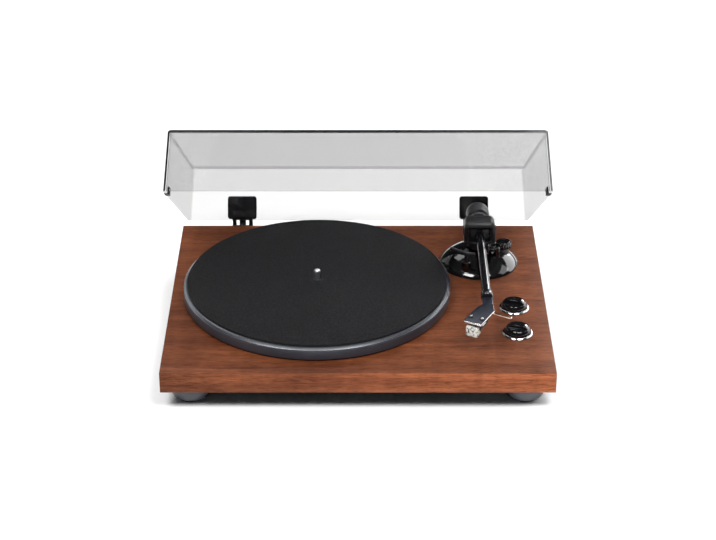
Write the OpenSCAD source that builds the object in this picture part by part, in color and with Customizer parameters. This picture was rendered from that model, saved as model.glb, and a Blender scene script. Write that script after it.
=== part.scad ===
// Belt-drive turntable with a hinged clear lid, as an assembly of separate pieces.
// Millimetres. X runs right, Y back and Z up. The origin lies on the floor under the
// middle of the whole outline with the lid raised. Heights named _z count from the deck,
// which is the top face of the plinth.

/* [Plinth] */
// Width of the wooden plinth, left to right
plinth_w = 420; // [410:1:480]
// Depth of the plinth, front to back
plinth_d = 340; // [334:1:400]
// Thickness of the plinth
plinth_t = 24; // [22:0.5:36]
// Board left above the pocket in the underside
deck_t = 11; // [8:0.5:13]
// Wood left around the pocket
pocket_wall = 20; // [16:1:26]

/* [Feet] */
// Height of a foot, floor to plinth
foot_h = 24; // [18:0.5:40]
// Radius of a foot where it meets the plinth
foot_r = 24; // [20:0.5:26]
// Radius of a foot at its lower edge
foot_tip_r = 17; // [14:0.5:19]
// Foot centre to the side of the plinth
foot_inset_x = 30; // [27:1:36]
// Foot centre to the front or back of the plinth
foot_inset_y = 35; // [27:1:40]
// Thickness of the rubber pad under a foot
pad_t = 3; // [2:0.5:5]

/* [Bottom cover] */
// Depth of the tray below the plinth
cover_drop = 11; // [10:0.5:15]
// Sheet thickness of the tray
cover_t = 1.5; // [1:0.1:2]
// Width of the lip screwed to the plinth
cover_lip = 6; // [5:0.5:8]

/* [Platter] */
// Spindle centre, right of the middle of the plinth
platter_x = -46; // [-52:1:-42]
// Spindle centre, behind the middle of the plinth
platter_y = 4; // [-6:1:8]
// Radius of the platter
platter_r = 150; // [140:1:154]
// Gap between the platter rim and the deck
platter_lift = 1.5; // [1:0.1:3]
// Height of the platter rim
platter_h = 14; // [12:0.5:18]
// Thickness of the platter disc
web_t = 5; // [3:0.5:5]
// Thickness of the platter rim
rim_wall = 8; // [5:0.5:12]
// Bevel on the upper edge of the rim
rim_bevel = 2; // [0.5:0.1:2.5]
// Radius of the mat
mat_r = 146; // [120:1:147]
// Thickness of the mat
mat_t = 3; // [1.5:0.1:4]
// Radius of the spindle tip, the standard record size
spindle_r = 3.6; // [3.5:0.01:3.65]
// Spindle tip above the mat
spindle_rise = 12.5; // [6:0.5:15]

/* [Main bearing] */
// Radius of the spindle shaft in its bearing
shaft_r = 4; // [3.5:0.1:5]
// Wall of the bronze bush
bush_wall = 3; // [2:0.1:3.5]
// Outer radius of the housing
housing_r = 10; // [9.5:0.1:13]
// Length of the housing below the deck
housing_len = 31; // [26:0.5:32]
// Radius of the housing flange
flange_r = 22; // [20.5:0.5:30]
// Thickness of the housing flange
flange_t = 2.5; // [2:0.1:3]
// Radius of the thrust ball
ball_r = 2.5; // [2:0.1:3]

/* [Drive] */
// Radius of the ring under the platter that the belt drives
drive_r = 75; // [60:1:85]
// Radius of the motor pulley under the belt
pulley_r = 5; // [4:0.1:8]
// Width of the belt
belt_w = 4.5; // [3:0.1:5]
// Thickness of the belt
belt_t = 0.8; // [0.5:0.1:1.2]
// Distance from the spindle to the motor shaft
motor_reach = 112; // [105:1:116]
// Direction of the motor seen from above
motor_turn = 135; // [128:1:142]
// Radius of the motor
motor_r = 15; // [12:0.5:15.5]
// Height of the motor
motor_h = 14; // [10:0.5:15]

/* [Tone arm base] */
// Arm pivot, right of the middle of the plinth
arm_x = 140; // [138:0.5:146]
// Arm pivot, behind the middle of the plinth
arm_y = 79; // [74:0.5:90]
// Radius of the domed base
dome_r = 45.5; // [42:0.5:48]
// Height of the flat top of the dome
dome_h = 20; // [17:0.5:24]
// Radius of the flat top
plateau_r = 16; // [15:0.5:20]
// Wall of the dome
dome_wall = 3; // [2:0.1:4]

/* [Tone arm] */
// Height of the arm axis above the flat top
pivot_rise = 21; // [20.5:0.5:26]
// Pivot to the front end of the tube
arm_len = 157; // [145:1:165]
// Radius of the arm tube
tube_r = 5; // [4:0.1:5.5]
// Wall of the arm tube
tube_wall = 1; // [0.5:0.1:2]
// Width of the yoke
yoke_w = 36; // [34:0.5:38]
// Depth of the yoke
yoke_d = 20; // [16:0.5:22]
// Thickness of a yoke leg
yoke_leg = 5; // [4:0.1:5]
// Radius of the pivot pins
pin_r = 2; // [1.5:0.1:2.5]
// Radius of the counterweight
weight_r = 13.5; // [11:0.5:16]
// Length of the counterweight
weight_len = 22; // [16:0.5:28]

/* [Headshell] */
// Turn of the headshell from the line of the arm
shell_turn = 28; // [20:0.5:32]
// Width of the headshell
shell_w = 21; // [18:0.5:24]
// Length of the turned part of the headshell
shell_len = 40.6; // [38:0.2:46]
// Thickness of the headshell plate
shell_t = 2.5; // [1.5:0.1:4]
// Distance between the two cartridge screws, the standard spacing
screw_gap = 12.7; // [12:0.1:13]

/* [Knobs] */
// Knob centre to the right side of the plinth
knob_inset = 36; // [32:1:42]
// Speed knob, in front of the middle of the plinth
speed_front = 30; // [10:1:34]
// Start knob, in front of the middle of the plinth
start_front = 85.5; // [78:0.5:90]
// Radius of a knob at its foot
knob_r = 14.4; // [12:0.2:14.6]
// Height of a knob above the deck
knob_h = 10.5; // [10:0.5:16]
// Outer radius of the bright ring round a knob
ring_r = 17; // [16:0.2:19]

/* [Lid] */
// Width of the lid at its rim
lid_w = 408; // [400:1:408]
// Depth of the lid at its rim
lid_d = 320; // [312:1:322]
// Height of the lid
lid_h = 65; // [62:0.5:90]
// Wall of the lid
lid_wall = 3; // [2:0.1:5]
// How far each side leans in towards the top
lid_draft = 4.3; // [2:0.1:8]
// Radius of the lid's upright corners
lid_corner = 6; // [4:0.5:12]
// Gap between the closed rim and the deck
lid_gap = 1; // [0.6:0.1:2]
// Opening angle as built
lid_open = 32.66; // [0:0.01:60]

/* [Hinges] */
// Hinge centre to the side of the lid
hinge_inset = 65; // [54:1:94]
// Hinge axis behind the plinth
hinge_back = 6; // [6:0.5:8]
// Hinge axis below the deck
hinge_drop = 9; // [7:0.5:10]
// Width of a hinge
hinge_w = 34.5; // [32:0.5:44]
// Width of the knuckle between the ears
knuckle_w = 24; // [18:0.5:24.5]
// Radius of a hinge pin
hinge_pin_r = 2; // [1.5:0.1:2.5]
// Height of the holder on the back of the lid
holder_h = 27; // [20:0.5:40]
// Thickness of the holder
holder_t = 6; // [4:0.5:8]

/* [Rear panel] */
// Width of the jack plate
panel_w = 116; // [112:1:140]
// Height of the jack plate
panel_h = 17; // [15:0.5:20]
// Radius of an output jack's barrel, the standard phono plug size
jack_r = 4.15; // [4.1:0.01:4.2]
// Distance between the two output jacks
jack_gap = 18; // [14:0.5:22]

/* [Fits] */
// Radial clearance of a turning or sliding fit
run_gap = 0.03; // [0.02:0.01:0.08]
// Radial clearance of a fixed seat
seat_gap = 0.05; // [0.02:0.01:0.1]
// Clearance between faces that pass each other
pass_gap = 0.3; // [0.2:0.05:0.4]

/* [Hidden] */

$fn = 64;

// How far a cutting shape passes the face that it cuts
cut = 1;

// Main levels, from the deck
under_z = -plinth_t;
floor_z = under_z - foot_h;
roof_z = -deck_t;

// Feet and their screws
foot_x = plinth_w / 2 - foot_inset_x;
foot_y = plinth_d / 2 - foot_inset_y;
foot_band = 4;
foot_waist = 0.66;
pad_show = pad_t / 2;
pad_r = foot_tip_r - 2;
foot_head_r = 5;
foot_head_h = 3;
foot_shank_r = 2.2;
foot_bite = 10;
foot_seat_z = floor_z + pad_t + foot_head_h + cut;

// Pocket in the underside: a cross that leaves the four corners solid for the feet
foot_clear = 4;
pocket_ax = foot_x - foot_r - foot_clear - cover_lip;
pocket_ay = plinth_d / 2 - pocket_wall;
pocket_bx = plinth_w / 2 - pocket_wall;
pocket_by = foot_y - foot_r - foot_clear - cover_lip;

// Bottom cover
cover_floor_z = under_z - cover_drop;
cover_screw_in = 25;
vent_count = 7;
vent_w = 3;
vent_len = 50;
vent_pitch = 8;

// Small screws: shank radius, head radius, head height
small_shank = 1.5;
small_head = 2.8;
small_head_h = 1.6;
small_bite = 7;
slot_w = 0.8;

// Platter levels
platter_z = platter_lift;
platter_top = platter_z + platter_h;
web_z = platter_top - web_t;
mat_top = platter_top + mat_t;
mat_edge = 0.6;
shoulder_r = spindle_r + 0.8;
mat_hole_r = shoulder_r + 0.2;
collar_z = flange_t + pass_gap;
collar_t = 2;
collar_r = 11;
hub_z = collar_z + collar_t;
hub_r = 14;
seat_r = spindle_r + 2.4;
tip_bulge = 0.8;
tip_step = 15;
drive_wall = 4;
drive_z = platter_z + 1.5;
window_r = 14;

// Main bearing
bush_r = shaft_r + bush_wall;
bearing_floor = 3;
ball_floor_z = -housing_len + bearing_floor;
ball_cup = 4;
shaft_foot_z = ball_floor_z + 2 * ball_r + run_gap;
flange_screw_r = 17;

// Motor and belt
grommet_t = 2.5;
grommet_r = 4;
bracket_t = 1.5;
bracket_r = 24;
bracket_screw_r = 19.5;
bracket_z = roof_z - grommet_t - bracket_t;
well_gap = 1;
motor_shaft_r = 1;
motor_shaft_in = 8;
belt_hole_r = 8;
pulley_flange = 1;
pulley_rim = belt_t + 0.8;
pulley_head_gap = 0.7;
pulley_drop = 0.8;
pulley_top = web_z - pulley_head_gap;
pulley_foot = drive_z - pulley_drop;
belt_z = (pulley_top + pulley_foot - belt_w) / 2;
belt_steps = 72;

// Circuit board
board_w = 110;
board_d = 52;
board_t = 1.6;
board_x = 20;
board_y = pocket_ay - board_d / 2 - 8;
spacer_h = 6;
spacer_r = 3;
board_z = roof_z - spacer_h - board_t;
board_screw_in = 5;
board_screw_x = board_w / 2 - board_screw_in;
board_screw_y = board_d / 2 - board_screw_in;

// Rear panel
panel_t = 1.5;
panel_notch = panel_w - 12;
notch_top = -10;
panel_z = under_z + 0.5;
jack_z = under_z + 8;
jack_len = 8;
jack_neck = 3.2;
jack_body_r = 5;
jack_body_len = 9;
jack_hole = 1.6;
jack_x = -32;
collar_lip = 1.2;
collar_wall = 2;
jack_root = panel_t + collar_lip;
ground_x = 8;
ground_stud = 2;
inlet_x = 34;
inlet_w = 10;
inlet_h = 11;
inlet_len = 12;
inlet_depth = 9;
inlet_bore = 2.8;
inlet_pin = 0.9;
panel_screw_x = panel_w / 2 - 3;
rear_y = plinth_d / 2;

// Hinges, in the plinth's own frame
hinge_x = lid_w / 2 - hinge_inset;
hinge_y = rear_y + hinge_back;
hinge_z = -hinge_drop;
ear_r = 5;
knuckle_r = 4.4;
hinge_foot_z = under_z + 1;
hinge_plate_h = 8;
hinge_plate_t = 3;
hinge_bore_gap = 0.05;
hinge_screw_x = hinge_w / 2 - 8;

// Lid, in its own frame: the rim is at height 0 with the lid closed
holder_z = 2;
leg_shoulder = 10;
leg_slope = 2;
bumper_w = 5;
bumper_d = 18;
bumper_back = 32;
bumper_t = lid_gap - 0.1;
bumper_post_h = 7;
bumper_post_w = 1.6;
corner_steps = 6;
axis_in_lid = hinge_z - lid_gap;

// Outline of the whole with the lid as built, for the middle of the frame
lid_back_y = lid_d / 2 - lid_draft - hinge_y;
lid_back_z = lid_gap + lid_h - hinge_z;
rear_reach = hinge_y + lid_back_y * cos(lid_open) + lid_back_z * sin(lid_open);
frame_shift = (rear_reach - plinth_d / 2) / 2;

// Arm base
dome_foot = 1;
dome_step = 10;
dome_bend = 1.5;
pillar_r = 11;
pillar_stem_r = 8;
pillar_flange_r = 18;
pillar_flange_t = 4;
pillar_top = dome_h + 2;
pillar_foot_z = roof_z - 7;
nut_r = 13;
nut_h = 6;
yoke_shaft_r = 4;

// Arm rest, standing on the deck through the dome
rest_x = 4;
rest_y = -40;
rest_post_r = 3;
rest_w = 13;
rest_d = 6;
rest_t = 2.7;
horn_t = 3;
horn_h = 9;
horn_gap = 0.8;

// Lift and cue lever
arm_rise = dome_h + pivot_rise;
arm_dip = 1.8;
lift_arc_r = 44;
lift_arc_w = 4;
lift_t = 4.5;
dip_room = (lift_arc_r + lift_arc_w / 2) * sin(arm_dip) + pass_gap;
tube_under = arm_rise - tube_r - dip_room;
lift_from = 9;
lift_to = 50;
lift_post_at = 37;
lift_post_turn = 26;
lift_post_r = 2;
lift_sleeve_r = 4.5;
lift_sleeve_z = dome_h - 2;
lift_foot_z = 5;
cue_y = -15;
cue_z = dome_h + 4;
cue_r = 2;
cue_x = 11;
paddle_w = 6.5;
paddle_len = 18;
paddle_t = 2.5;
paddle_tilt = 25;
paddle_hub_r = 3.2;
cue_block_x = cue_x + paddle_w + pass_gap;
cue_block_w = 5;
cue_block_d = 8;
cue_block_h = 7;
cue_block_root = 7;

// Anti-skate knob
skate_x = 28.5;
skate_y = -1;
skate_r = 9;
skate_h = 7;
skate_seat_r = 6.5;
skate_seat_h = 11;
skate_pin_r = 2;
skate_pin_len = 8;
skate_flutes = 20;

// Yoke and arm block
yoke_foot_z = pillar_top + pass_gap;
yoke_turret_r = 14;
yoke_base_z = arm_rise - 13;
yoke_base_t = 3;
yoke_open_up = 7.5;
yoke_top_t = 6.5;
yoke_shoulder_w = 6;
yoke_shoulder_h = 9;
yoke_shoulder_step = 15;
yoke_boss_r = 6;
yoke_boss_t = 1;
block_w = yoke_w - 2 * yoke_leg - 6;
block_d = 16;
block_h = 11;
tube_in = 5;
stub_r = 4.5;
stub_len = 53;

// Counterweight and dial
weight_y = 25;
weight_edge = 2;
nose_r = 8;
nose_len = 6;
dial_r = 11.5;

// Headshell, in the frame of its turned part: forward is -Y, the arm axis is at height 0
neck_w = 11;
neck_len = 22.4;
neck_straight = 0.3;
waist_u = 0.38;
waist_v = 2.5;
inner_edge_v = 8.8;
outer_edge_v = 6.3;
bend_y = arm_len + neck_len;
shell_top = 1.2;
shell_under = shell_top - shell_t;
socket_r = 6;
socket_len = 7;
socket_end = 3;
shell_screw_v = 29.7;
shell_shank = 1.2;
shell_head = 2.2;
shell_head_h = 1.4;
shell_bite = 5;
cart_w = 15;
cart_back = 15;
cart_front = 35;
cart_h = 8.5;
cart_under = shell_under - cart_h;
cart_ear_w = shell_w - 2;
cart_ear_d = 8;
cart_ear_h = 3;
grip_w = 10;
grip_h = 2.5;
grip_back = 24;
grip_front = 36;
tip_drop = 4;
tip_v = 38;
guard_t = 0.8;
guard_back = 31;
guard_front = 42;
guard_gap = 0.3;
guard_room = 0.8;
hood_w = 14;
hood_top = -4;

// Knobs
knob_x = plinth_w / 2 - knob_inset;
knob_foot = 0.6;
knob_stem_r = 3;
knob_stem_in = 6;
knob_round = 8.4;
knob_turn = -15;
grip_bar_w = 6;
grip_bar_cut = 3;
switch_r = 9;
switch_h = 10;
switch_neck_r = 4.5;
knob_ring_h = 2.2;
knob_ring_edge = 0.8;
knob_ring_in = knob_r + 0.4;

echo(frame_shift = frame_shift);
echo(spindle = [platter_x, platter_y - frame_shift]);
echo(motor = motor_spot());
echo(arm_pivot = [arm_x, arm_y - frame_shift, arm_rise - floor_z]);
echo(hinge_axis = [0, hinge_y - frame_shift, hinge_z - floor_z]);
echo(mat_height = mat_top - floor_z);

function motor_spot() = [
    platter_x + motor_reach * cos(motor_turn),
    platter_y + motor_reach * sin(motor_turn) - frame_shift
];

// Points along a circular arc
function arc(cx, cy, r, from, to, steps) = [
    for (i = [0 : steps])
        let (a = from + (to - from) * i / steps)
            [cx + r * cos(a), cy + r * sin(a)]
];

// Outline of a rectangle with round corners
function rounded(w, d, r) = concat(
    arc(w / 2 - r, d / 2 - r, r, 0, 90, corner_steps),
    arc(r - w / 2, d / 2 - r, r, 90, 180, corner_steps),
    arc(r - w / 2, r - d / 2, r, 180, 270, corner_steps),
    arc(w / 2 - r, r - d / 2, r, 270, 360, corner_steps)
);

// Loop round two circles, the large one at the origin and the small one along X
function belt_loop(large, small, reach) =
    let (touch = acos((large - small) / reach))
        concat(
            arc(0, 0, large, touch, 360 - touch, belt_steps),
            arc(reach, 0, small, -touch, touch, belt_steps / 3)
        );

// Bell-shaped side of the arm base, drawn in by the given amount
function dome_side(inset) = [
    for (a = [0 : dome_step : 90])
        [
            plateau_r + (dome_r - plateau_r - inset) * pow(cos(a), dome_bend),
            dome_foot + (dome_h - dome_foot - inset) * pow(sin(a), dome_bend)
        ]
];

// Point of the headshell plate, across and along its turned part, in the arm's frame
function shell_point(u, v) = [
    u * cos(shell_turn) - v * sin(shell_turn),
    -bend_y - u * sin(shell_turn) - v * cos(shell_turn)
];

// Outer face of the lid's back wall at a height above the rim
function lid_back(z) = lid_d / 2 - lid_draft * z / lid_h;

// Inner width or depth of the lid at a height above the rim
function lid_inner(outer, z) = outer - 2 * lid_wall - 2 * lid_draft * z / lid_h;

// Places of the pieces
module at_deck() translate([0, -frame_shift, -floor_z]) children();
module to_platter() translate([platter_x, platter_y, 0]) children();
module to_motor()
    to_platter() rotate([0, 0, motor_turn]) translate([motor_reach, 0, 0]) children();
module to_arm() translate([arm_x, arm_y, 0]) children();
module to_arm_axis() to_arm() translate([0, 0, arm_rise]) children();
module to_shell()
    to_arm_axis() translate([0, -bend_y, 0]) rotate([0, 0, -shell_turn]) children();
module to_knob(front) translate([knob_x, -front, 0]) children();
module to_lift_post()
    to_arm() rotate([0, 0, -lift_post_turn]) translate([0, -lift_post_at, 0]) children();
module to_skate() to_arm() translate([skate_x, skate_y, 0]) children();
module to_lid()
    translate([0, hinge_y, hinge_z]) rotate([-lid_open, 0, 0])
        translate([0, -hinge_y, lid_gap - hinge_z]) children();
module on_feet()
    for (sx = [-1, 1], sy = [-1, 1]) translate([sx * foot_x, sy * foot_y, 0]) children();
module on_three(r)
    for (a = [90, 210, 330]) rotate([0, 0, a]) translate([r, 0, 0]) children();
module on_board()
    for (sx = [-1, 1], sy = [-1, 1])
        translate([board_x + sx * board_screw_x, board_y + sy * board_screw_y, 0])
            children();
module on_cover() {
    for (sx = [-1, 1], sy = [-1, 1]) {
        translate([sx * (pocket_ax - cover_screw_in), sy * (pocket_ay + cover_lip / 2), 0]) children();
        translate([sx * (pocket_bx + cover_lip / 2), sy * (pocket_by - cover_screw_in), 0]) children();
    }
}
module to_jack(side) translate([jack_x + side * jack_gap / 2, rear_y, jack_z]) children();
module on_hinges() for (side = [-1, 1]) translate([side * hinge_x, 0, 0]) children();
module on_hinge_screws()
    on_hinges() for (side = [-1, 1])
        translate([side * hinge_screw_x, rear_y, hinge_foot_z + hinge_plate_h / 2]) rotate([-90, 0, 0])
            children();
module on_panel_screws()
    for (side = [-1, 1])
        translate([side * panel_screw_x, rear_y, panel_z + panel_h / 2]) rotate([-90, 0, 0]) children();

// Shapes that repeat
module rod_x(r, from, to)
    translate([from, 0, 0]) rotate([0, 90, 0]) cylinder(r = r, h = to - from);
module rod_y(r, from, to)
    translate([0, from, 0]) rotate([-90, 0, 0]) cylinder(r = r, h = to - from);
module bore(r, from, to) translate([0, 0, from]) cylinder(r = r, h = to - from);
module slab_x(w) translate([-w / 2, 0, 0]) rotate([90, 0, 90]) linear_extrude(w) children();
module slab_y(d) translate([0, d / 2, 0]) rotate([90, 0, 0]) linear_extrude(d) children();
module ring(outer, inner, h)
    difference() {
        cylinder(r = outer, h = h);
        bore(inner, -cut, h + cut);
    }
// A screw with its head above height 0 and its shank below
module screw(shank, length, head, head_h)
    difference() {
        union() {
            bore(shank, -length, cut / 2);
            cylinder(r = head, h = head_h);
        }
        translate([-head, -slot_w / 2, head_h / 2]) cube([2 * head, slot_w, head_h]);
    }
module small_screw(through) screw(small_shank, through + small_bite, small_head, small_head_h);
module pocket_outline(grow) {
    square([2 * (pocket_ax + grow), 2 * (pocket_ay + grow)], center = true);
    square([2 * (pocket_bx + grow), 2 * (pocket_by + grow)], center = true);
}

// The wooden board with its pocket, through holes and pilot holes
module plinth_board() {
    pilot = small_shank + seat_gap;
    color("#7d4a35") at_deck() difference() {
        translate([-plinth_w / 2, -plinth_d / 2, under_z]) cube([plinth_w, plinth_d, plinth_t]);
        translate([0, 0, under_z - cut]) linear_extrude(plinth_t - deck_t + cut) pocket_outline(0);
        translate([-panel_notch / 2, pocket_ay - cut, under_z - cut])
            cube([panel_notch, pocket_wall + 2 * cut, plinth_t + notch_top + cut]);
        to_platter() bore(housing_r + seat_gap, roof_z - cut, cut);
        to_platter() on_three(flange_screw_r) bore(pilot, -small_bite - cut, cut);
        to_motor() bore(belt_hole_r, roof_z - cut, cut);
        to_motor() bore(bracket_r + well_gap, under_z - cut, roof_z);
        to_motor() on_three(bracket_screw_r) bore(pilot, roof_z - cut, roof_z + small_bite + cut);
        to_arm() bore(pillar_stem_r + seat_gap, roof_z - cut, cut);
        for (front = [speed_front, start_front])
            to_knob(front) bore(switch_neck_r + seat_gap, roof_z - cut, cut);
        on_board() bore(pilot, roof_z - cut, roof_z + small_bite + cut);
        on_feet() bore(foot_shank_r + seat_gap, under_z - cut, under_z + foot_bite + cut);
        on_cover() bore(pilot, under_z - cut, under_z + small_bite + cut);
        on_hinge_screws() bore(pilot, -small_bite - cut, cut);
        on_panel_screws() bore(pilot, -small_bite - cut, cut);
    }
}

// Sheet tray that closes the pocket
module bottom_cover() color("#26262a") at_deck() difference() {
    union() {
        translate([0, 0, under_z - cover_t]) linear_extrude(cover_t) pocket_outline(cover_lip);
        translate([0, 0, cover_floor_z]) linear_extrude(cover_drop) pocket_outline(0);
    }
    translate([0, 0, cover_floor_z + cover_t]) linear_extrude(cover_drop) pocket_outline(-cover_t);
    on_cover() bore(small_shank + seat_gap, under_z - cover_t - cut, under_z + cut);
    for (i = [0 : vent_count - 1])
        translate([(i - (vent_count - 1) / 2) * vent_pitch, 0, cover_floor_z + cover_t / 2])
            cube([vent_w, vent_len, cover_t + 2 * cut], center = true);
}

module cover_screws() color("#8d8d92") at_deck() on_cover() translate([0, 0, under_z - cover_t])
    rotate([180, 0, 0]) small_screw(cover_t);

// A tapered foot with a recess for its pad and a sunk screw
module foot(sx, sy) {
    waist_h = (foot_h - foot_band + pad_show) / 2;
    waist_r = foot_tip_r + (foot_r - foot_tip_r) * foot_waist;
    color("#8b8a8d") at_deck() translate([sx * foot_x, sy * foot_y, 0]) difference() {
        translate([0, 0, floor_z]) rotate_extrude() polygon([
            [0, pad_show], [foot_tip_r, pad_show], [waist_r, waist_h],
            [foot_r, foot_h - foot_band], [foot_r, foot_h], [0, foot_h]
        ]);
        bore(pad_r + seat_gap, floor_z, floor_z + pad_t);
        bore(foot_head_r + seat_gap, floor_z, foot_seat_z);
        bore(foot_shank_r + seat_gap, floor_z, under_z + cut);
    }
}
module foot_front_left() foot(-1, -1);
module foot_front_right() foot(1, -1);
module foot_rear_left() foot(-1, 1);
module foot_rear_right() foot(1, 1);

module foot_pads() color("#1d1d1f") at_deck() on_feet()
    bore(pad_r, floor_z, floor_z + pad_t);

module foot_screws() color("#9a9a9e") at_deck() on_feet()
    translate([0, 0, foot_seat_z]) rotate([180, 0, 0])
        screw(foot_shank_r, under_z - foot_seat_z + foot_bite, foot_head_r, foot_head_h);

// Flanged cup that hangs in the board and carries the spindle
module bearing_housing() color("#9c9ca2") at_deck() to_platter() difference() {
    rotate_extrude() polygon([
        [0, -housing_len], [housing_r, -housing_len], [housing_r, 0], [flange_r, 0], [flange_r, flange_t],
        [bush_r + seat_gap, flange_t], [bush_r + seat_gap, ball_floor_z + ball_cup],
        [ball_r + seat_gap, ball_floor_z + ball_cup], [ball_r + seat_gap, ball_floor_z], [0, ball_floor_z]
    ]);
    on_three(flange_screw_r) bore(small_shank + seat_gap, -cut, flange_t + cut);
}

module bearing_bush() color("#b08d57") at_deck() to_platter() translate([0, 0, ball_floor_z + ball_cup])
    ring(bush_r, shaft_r + run_gap, flange_t - ball_floor_z - ball_cup);

module thrust_ball() color("#c9c9ce") at_deck() to_platter() translate([0, 0, ball_floor_z + ball_r])
    sphere(r = ball_r);

// Motor under its bracket, with the shaft running in its nose
module motor() color("#6f7076") at_deck() to_motor() difference() {
    translate([0, 0, bracket_z - motor_h]) cylinder(r = motor_r, h = motor_h);
    bore(motor_shaft_r + run_gap, bracket_z - motor_shaft_in - pass_gap, bracket_z + cut);
}

module motor_bracket() color("#8f9095") at_deck() to_motor() translate([0, 0, bracket_z]) difference() {
    ring(bracket_r, 2 * motor_shaft_r, bracket_t);
    on_three(bracket_screw_r) bore(small_shank + seat_gap, -cut, bracket_t + cut);
}

module motor_grommets() color("#202022") at_deck() to_motor() translate([0, 0, bracket_z + bracket_t])
    on_three(bracket_screw_r) ring(grommet_r, small_shank + seat_gap, grommet_t);

// Flat belt round the pulley and the drive ring, just clear of both
module drive_belt() color("#1b1b1d") at_deck() to_platter() rotate([0, 0, motor_turn])
    translate([0, 0, belt_z]) linear_extrude(belt_w) difference() {
        polygon(belt_loop(drive_r + pass_gap + belt_t, pulley_r + pass_gap + belt_t, motor_reach));
        polygon(belt_loop(drive_r + pass_gap, pulley_r + pass_gap, motor_reach));
    }

// Board with its larger parts hanging below
module circuit_board() {
    chip = [14, 10, 3];
    choke = [12, 12, 8];
    chip_places = [-30, -6];
    choke_place = 18;
    can_r = 4;
    can_h = 8;
    can_places = [[-40, -10], [-40, 10], [38, -10], [38, 10]];
    color("#2f6b45") at_deck() difference() {
        translate([board_x, board_y, board_z]) {
            translate([-board_w / 2, -board_d / 2, 0]) cube([board_w, board_d, board_t]);
            for (x = chip_places) translate([x, -chip.y / 2, -chip.z]) cube(chip);
            translate([choke_place, -choke.y / 2, -choke.z]) cube(choke);
            for (place = can_places) translate(place) bore(can_r, -can_h, board_t / 2);
        }
        on_board() bore(small_shank + seat_gap, board_z - cut, roof_z);
    }
}

module board_spacers() color("#b9b9bd") at_deck() on_board() translate([0, 0, board_z + board_t])
    ring(spacer_r, small_shank + seat_gap, spacer_h);

// Screws of the bearing flange from above, and of the motor and circuit board from below
module chassis_screws() color("#9a9a9e") at_deck() {
    to_platter() on_three(flange_screw_r) translate([0, 0, flange_t]) small_screw(flange_t);
    to_motor() on_three(bracket_screw_r) translate([0, 0, bracket_z]) rotate([180, 0, 0])
        small_screw(bracket_t + grommet_t);
    on_board() translate([0, 0, board_z]) rotate([180, 0, 0]) small_screw(board_t + spacer_h);
}

// Angle plate that closes the notch in the back of the board and holds the sockets
module jack_plate() color("#19191b") at_deck() difference() {
    union() {
        translate([-panel_w / 2, rear_y, panel_z]) cube([panel_w, panel_t, panel_h]);
        translate([-panel_notch / 2 + seat_gap, pocket_ay + cover_lip + seat_gap, panel_z])
            cube([panel_notch - 2 * seat_gap, pocket_wall - cover_lip, panel_t]);
    }
    for (side = [-1, 1]) to_jack(side) rod_y(jack_neck + seat_gap, -cut, panel_t + cut);
    translate([ground_x, rear_y, jack_z]) rod_y(ground_stud + seat_gap, -cut, panel_t + cut);
    translate([inlet_x - inlet_w / 2 - seat_gap, rear_y - cut, jack_z - inlet_h / 2 - seat_gap])
        cube([inlet_w + 2 * seat_gap, panel_t + 2 * cut, inlet_h + 2 * seat_gap]);
    on_panel_screws() bore(small_shank + seat_gap, -cut, panel_t + cut);
}

// Two jacks: body behind the plate, neck through it and the collar, and barrel outside
module output_jacks() color("#c8b06a") at_deck() for (side = [-1, 1]) to_jack(side) rotate([-90, 0, 0])
    rotate_extrude() polygon([
        [0, -jack_body_len], [jack_body_r, -jack_body_len], [jack_body_r, 0], [jack_neck, 0],
        [jack_neck, jack_root], [jack_r, jack_root], [jack_r, jack_root + jack_len],
        [jack_hole, jack_root + jack_len], [jack_hole, cut], [0, cut]
    ]);

module jack_collar(side) at_deck() to_jack(side) translate([0, panel_t, 0]) rotate([-90, 0, 0])
    ring(jack_r + collar_wall, jack_neck + seat_gap, collar_lip);
module jack_collar_left() color("#e6e4df") jack_collar(1);
module jack_collar_right() color("#b3262b") jack_collar(-1);

// Stud through the plate with a thumb nut outside and a lock nut inside
module ground_post() {
    nut = 4.5;
    nut_len = 6;
    lock = 4;
    lock_len = 3;
    color("#b7b7bc") at_deck() translate([ground_x, rear_y, jack_z]) union() {
        rod_y(ground_stud, -lock_len, panel_t + nut_len + cut);
        rod_y(lock, -lock_len, 0);
        rod_y(nut, panel_t, panel_t + nut_len);
    }
}

// Low-voltage inlet: block through the plate, with a round hole and a centre pin
module power_inlet() color("#141416") at_deck() translate([inlet_x, rear_y + panel_t, jack_z]) {
    difference() {
        translate([-inlet_w / 2, -inlet_len, -inlet_h / 2]) cube([inlet_w, inlet_len, inlet_h]);
        difference() {
            rod_y(inlet_bore, -inlet_depth, cut);
            rod_y(inlet_pin, -inlet_depth - cut, -cut);
        }
    }
}

// Fixed half of a hinge: a foot plate and two ears that hold the pin
module hinge_base(side) color("#1a1a1c") at_deck() translate([side * hinge_x, 0, 0]) difference() {
    ear_from = knuckle_w / 2 + pass_gap;
    union() {
        translate([-hinge_w / 2, rear_y, hinge_foot_z]) cube([hinge_w, hinge_plate_t, hinge_plate_h]);
        for (ear = [-1, 1]) {
            inner = ear > 0 ? ear_from : -hinge_w / 2;
            translate([inner, rear_y, hinge_foot_z])
                cube([hinge_w / 2 - ear_from, hinge_back, hinge_z - hinge_foot_z + ear_r]);
            translate([inner, hinge_y, hinge_z]) rod_x(ear_r, 0, hinge_w / 2 - ear_from);
        }
    }
    translate([0, hinge_y, hinge_z])
        rod_x(hinge_pin_r + seat_gap, -hinge_w / 2 - cut, hinge_w / 2 + cut);
    for (screw_side = [-1, 1])
        translate([screw_side * hinge_screw_x, rear_y, hinge_foot_z + hinge_plate_h / 2])
            rod_y(small_shank + seat_gap, -cut, hinge_plate_t + cut);
}
module hinge_base_left() hinge_base(-1);
module hinge_base_right() hinge_base(1);

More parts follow.
